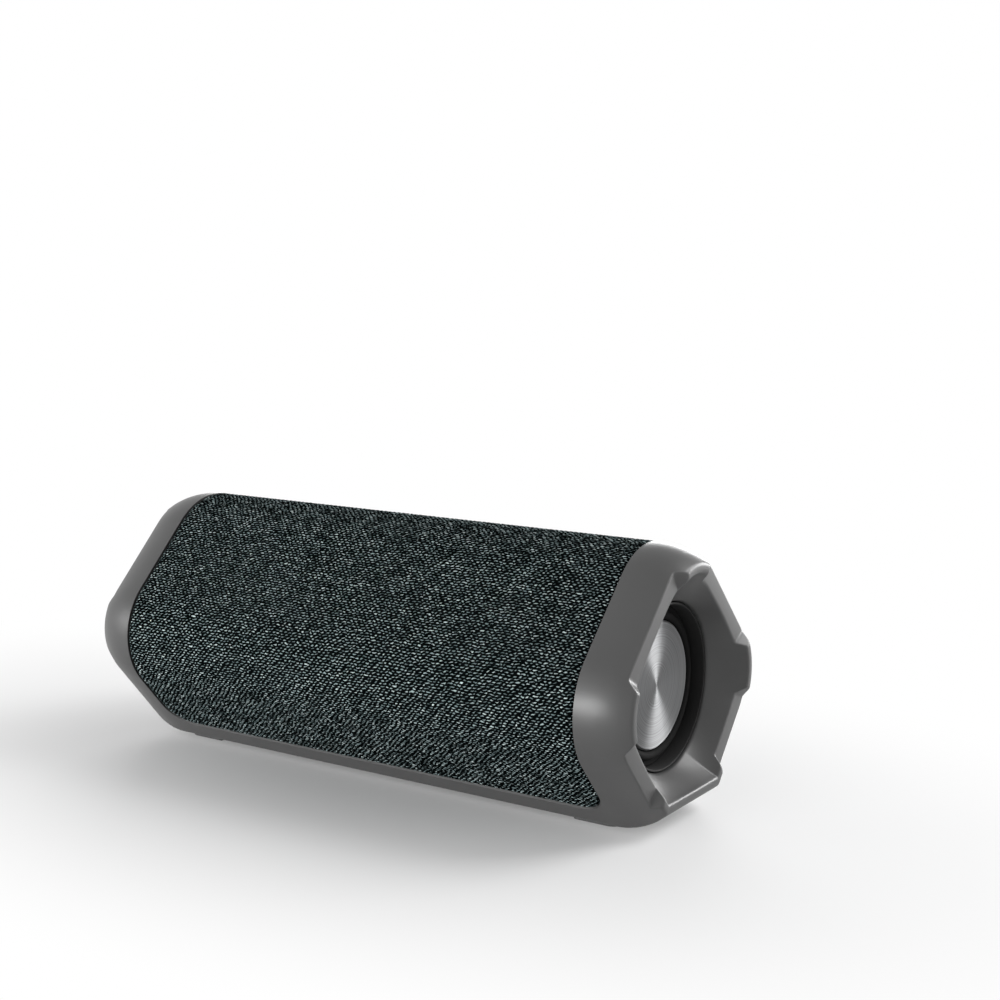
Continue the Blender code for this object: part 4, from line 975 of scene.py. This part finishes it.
def cloth_material():
    """Coarse weave of pale melange stitches over black, set out by stitch and yarn numbers. Each stitch's
    pale fades to near black at its ends and sides, which is painted shade on the rounded stitch, and the near
    black is both the black yarn's colour and painted shade in the gaps between yarns.
    """
    tree = material_tree("woven_cloth")
    u, v, _ = tree.apart(tree.add("ShaderNodeUVMap", uv_map="threads").outputs["UV"])
    place = tree.place()

    def sway(scale, amount, shift):
        """Uneven shift of the threads, by part of a stitch or yarn."""
        moved = tree.add("ShaderNodeMapping", (("Vector", place), ("Location", (shift, 0.3 * shift, -shift))))
        return tree.times(tree.math("SUBTRACT", tree.noise(moved.outputs[0], scale, 1.0), 0.5), amount)

    yarn = tree.plus(v, tree.plus(sway(330.0, 0.6, 0.0), sway(1000.0, 0.95, 3.0)))
    row = tree.math("FLOOR", yarn)
    level = tree.math("SUBTRACT", tree.math("FRACT", yarn), 0.5)
    slant = tree.scaled(tree.noise(place, 70.0, 2.0), -0.1, 1.3)
    stagger = tree.plus(u, tree.times(row, 0.5))
    number = tree.plus(stagger, tree.plus(sway(260.0, 0.8, 5.0), sway(800.0, 1.1, 8.0)))
    number = tree.plus(number, tree.times(level, slant))
    cell = tree.add("ShaderNodeCombineXYZ", ((0, tree.math("ROUND", number)), (1, row))).outputs[0]
    lot = tree.add("ShaderNodeTexWhiteNoise", (("Vector", cell),), noise_dimensions="2D")
    along = tree.math("COSINE", tree.times(number, 2 * math.pi))
    across = tree.math("SINE", tree.times(tree.math("FRACT", yarn), math.pi))
    # Stitch mask, full at each stitch's crest and falling to 0 at its ends and sides: the stitch's shape, and
    # its fall is painted shade on the rounded stitch
    stitch = tree.times(tree.step(along, -0.40, 0.70), tree.step(across, 0.70, 1.0))
    fibre = tree.noise(tree.place((1.0, 2.0, 2.0)), 1700.0, 3.0, 0.7)
    pale = tree.ramp(lot.outputs["Value"], ((0.0, (0.120, 0.160, 0.165)), (0.4, (0.245, 0.318, 0.324)),
                                            (0.8, (0.395, 0.485, 0.490)), (1.0, (0.600, 0.695, 0.695))))
    # Near black: the black yarn's colour, darkened further as painted shade in the gaps between yarns
    black_yarn_and_painted_shade = (0.0010, 0.0016, 0.0017)
    # How much pale shows: the stitch mask with fibre flecks, so both the yarn's colour and painted shade
    pale_stitch_and_painted_shade = tree.times(stitch, tree.plus(tree.times(fibre, 1.1), 0.35), clamp=True)
    tree.put("Base Color", tree.mix(pale_stitch_and_painted_shade, black_yarn_and_painted_shade, pale))
    tree.put("Roughness", 0.95)
    tree.put("Specular IOR Level", 0.0)
    tree.bump(tree.plus(stitch, tree.times(fibre, 0.3)), 0.5, 0.00020)
    return tree.owner


def spun_material():
    """Lathe-turned aluminium: rings in tone and gloss, drawn-out highlights along the radius."""
    tree = material_tree("spun_aluminium")
    _, y, height = tree.apart(tree.place())
    z = tree.math("SUBTRACT", height, RADIATOR_Z)
    radius = tree.math("SQRT", tree.plus(tree.times(y, y), tree.times(z, z)))
    rings = tree.add("ShaderNodeTexNoise", (("W", radius), ("Scale", 2600.0), ("Detail", 2.0)),
                     noise_dimensions="1D").outputs["Fac"]
    tree.put("Base Color", tree.mix(rings, (0.100, 0.102, 0.104), (0.28, 0.283, 0.287)))
    tree.put("Roughness", tree.scaled(rings, 0.41, 0.49))
    tree.put("Metallic", 1.0)
    tree.put("Anisotropic", 0.96)
    tree.put("Anisotropic Rotation", 0.25)
    tree.put("Tangent", tree.add("ShaderNodeTangent", direction_type="RADIAL", axis="X").outputs[0])
    tree.bump(rings, 0.10, 0.00002)
    return tree.owner


def metal_material(name, colour, roughness):
    """Plated sheet metal with faint wear."""
    tree = material_tree(name)
    place = tree.place()
    worn = tree.noise(place, 350.0, 5.0)
    tree.put("Base Color", tree.mix(worn, shade(colour, 0.8), colour))
    tree.put("Roughness", tree.scaled(worn, roughness - 0.08, roughness + 0.10))
    tree.put("Metallic", 1.0)
    tree.bump(tree.noise(place, 1800.0), 0.15, 0.00001)
    return tree.owner


def board_material():
    """Green solder mask with faint tracks under it."""
    tree = material_tree("board_mask")
    cells = tree.add("ShaderNodeTexVoronoi", (("Vector", tree.place()), ("Scale", 420.0)),
                     feature="DISTANCE_TO_EDGE")
    track = tree.math("LESS_THAN", cells.outputs["Distance"], 0.06)
    tree.put("Base Color", tree.mix(track, (0.008, 0.080, 0.030), (0.020, 0.150, 0.060)))
    tree.put("Roughness", 0.45)
    tree.bump(track, 0.2, 0.00003)
    return tree.owner


def paint(piece, material):
    if not piece.material_slots:
        piece.data.materials.append(material)
    for slot in piece.material_slots:
        slot.material = material


def dress_nodes():
    """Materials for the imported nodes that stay, by the beginning of their names."""
    inner = moulded("inner_black_plastic", (0.014, 0.014, 0.015), 0.48)
    rubber = moulded("inner_rubber", grey(0.012), 0.72, 3400.0)
    steel = metal_material("plated_steel", (0.56, 0.57, 0.58), 0.32)
    board = board_material()
    chip = moulded("chip_resin", (0.020, 0.020, 0.021), 0.55, 5200.0)
    paper = moulded("cone_paper", (0.022, 0.022, 0.024), 0.85, 1500.0, 0.00005)
    wrap = moulded("cell_wrap", (0.030, 0.120, 0.300), 0.36)
    rules = ((inner, ("grille", "enclosure", "end_plate", "aux_jack", "battery_holder")),
             (rubber, ("end_gasket",)), (paper, ("driver_cone",)), (wrap, ("battery_cell",)),
             (steel, ("radiator_weight", "driver_basket", "driver_magnet", "usb_port", "base_screw",
                      "board_screw")), (board, ("control_board", "main_board")),
             (chip, ("switch", "radio_module", "amplifier_chip", "power_inductor")))
    for name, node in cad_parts.items():
        for material, beginnings in rules:
            if name.startswith(beginnings):
                paint(node, material)


# Camera, floor and light
def make_camera():
    """Camera fitted to the photograph's outline."""
    yaw, pitch, roll = -0.5814, 0.1459, 0.0057
    forward = Vector((math.sin(yaw) * math.cos(pitch), math.cos(yaw) * math.cos(pitch), -math.sin(pitch)))
    right = Vector((math.cos(yaw), -math.sin(yaw), 0))
    up = right.cross(forward)
    right, up = math.cos(roll) * right + math.sin(roll) * up, math.cos(roll) * up - math.sin(roll) * right
    data = bpy.data.cameras.new("camera")
    data.sensor_width = 36.0
    data.lens = 59.03
    data.clip_start = 0.01
    data.clip_end = 20.0
    camera = add_object("camera", data)
    camera.matrix_world = axes_place(right, up, -forward, (0.2726, -0.3704, 0.1452))
    bpy.context.scene.camera = camera


def make_floor():
    """Pale floor that keeps the shadow near the object and turns white further out."""
    bm = bmesh.new()
    bmesh.ops.create_circle(bm, cap_ends=True, segments=96, radius=6.0)
    mesh = bpy.data.meshes.new("floor")
    bm.to_mesh(mesh)
    bm.free()
    floor = add_object("floor", mesh)
    tree = material_tree("pale_floor")
    tree.put("Base Color", tree.mix(tree.noise(tree.place(), 3.0), (0.80, 0.80, 0.805), grey(0.84)))
    tree.put("Roughness", 0.7)
    tree.put("Specular IOR Level", 0.2)
    away = tree.add("ShaderNodeVectorMath", ((0, tree.place((0.57, 1.0, 1.0))),), operation="LENGTH")
    fade = tree.step(away.outputs["Value"], 0.02, 0.15, 0.12)
    white = tree.add("ShaderNodeEmission", (("Strength", 1.0),))
    tree.show("Material Output", tree.times(fade, seen_rays(tree)), tree.shader.outputs[0], white.outputs[0])
    paint(floor, tree.owner)


def seen_rays(tree):
    """1 for rays that show the background: from the camera, in reflections and through glass."""
    path = tree.add("ShaderNodeLightPath")
    some = tree.math("MAXIMUM", path.outputs["Is Camera Ray"], path.outputs["Is Glossy Ray"])
    return tree.math("MAXIMUM", some, path.outputs["Is Transmission Ray"])


def make_world():
    """Studio with white walls and a dim ceiling; the camera sees it as white."""
    world = bpy.data.worlds.new("studio")
    bpy.context.scene.world = world
    tree = Tree(world)
    room = tree.nodes["Background"]
    height = tree.apart(tree.add("ShaderNodeTexCoord").outputs["Generated"])[2]
    walls = tree.ramp(height, ((0.0, grey(0.85)), (0.18, grey(0.80)), (0.62, grey(0.16)), (1.0, grey(0.12))))
    tree.links.new(walls, room.inputs["Color"])
    room.inputs["Strength"].default_value = 0.32
    white = tree.add("ShaderNodeBackground", (("Color", (1.0, 1.0, 1.0, 1.0)), ("Strength", 1.0)))
    tree.show("World Output", seen_rays(tree), room.outputs[0], white.outputs[0])


def area_light(name, place, target, size, power):
    data = bpy.data.lights.new(name, "AREA")
    data.shape = "RECTANGLE"
    data.size, data.size_y = size
    data.energy = power
    lamp = add_object(name, data)
    lamp.visible_camera = False
    direction = Vector(target) - Vector(place)
    lamp.matrix_world = Matrix.Translation(place) @ direction.to_track_quat("-Z", "Y").to_matrix().to_4x4()


def make_lights():
    area_light("front_strip", (-0.22, -1.20, 0.14), (0, 0, 0.035), (0.80, 0.34), 16.5)
    area_light("front_upper", (-0.25, -1.00, 0.70), (0, 0, 0.035), (1.1, 0.5), 0.8)
    area_light("left_strip", (-1.03, -0.78, 0.20), (-0.08, 0, 0.035), (0.45, 0.36), 3.0)
    area_light("back_softbox", (0.72, 0.60, 0.85), (0.05, 0, 0.03), (0.6, 0.6), 9.0)
    for end in (1, -1):
        area_light("end_strip", (end * 0.54, 1.00, 0.19), (end * 0.078, 0, 0.035), (0.75, 0.50), 11.5)


make_camera()
make_floor()
make_world()
make_lights()

grey_plastic = moulded("frame_grey_plastic", grey(0.054), 0.39, 3000.0, 0.000012)
strip_plastic = moulded("strip_grey_plastic", grey(0.050), 0.41, 3000.0, 0.000015)
mark_plastic = moulded("mark_pale_plastic", grey(0.150), 0.40, 3000.0, 0.000012)
foot_rubber = moulded("foot_grey_rubber", (0.050, 0.051, 0.051), 0.68, 3600.0, 0.00003)
black_rubber = moulded("roll_black_rubber", grey(0.004), 0.78, 3600.0, specular=0.12)
throat_plastic = moulded("throat_black_plastic", grey(0.016), 0.62, specular=0.2)
spun_aluminium = spun_material()

paint(make_frame(), grey_plastic)
for pad in make_feet():
    paint(pad, foot_rubber)
cover = make_cloth()
paint(cover, cloth_material())
for side_name, end_sign in (("left", -1), ("right", 1)):
    disc, collar, wedges = make_radiator(side_name, end_sign)
    paint(disc, spun_aluminium)
    paint(collar, throat_plastic)
    for wedge in wedges + make_driver_roll(side_name, end_sign):
        paint(wedge, black_rubber)
for piece in [make_panel(), make_flap()] + make_keys():
    paint(piece, mark_plastic if piece.name.endswith("_mark") else strip_plastic)
dress_nodes()

bpy.context.scene.view_settings.view_transform = "Standard"
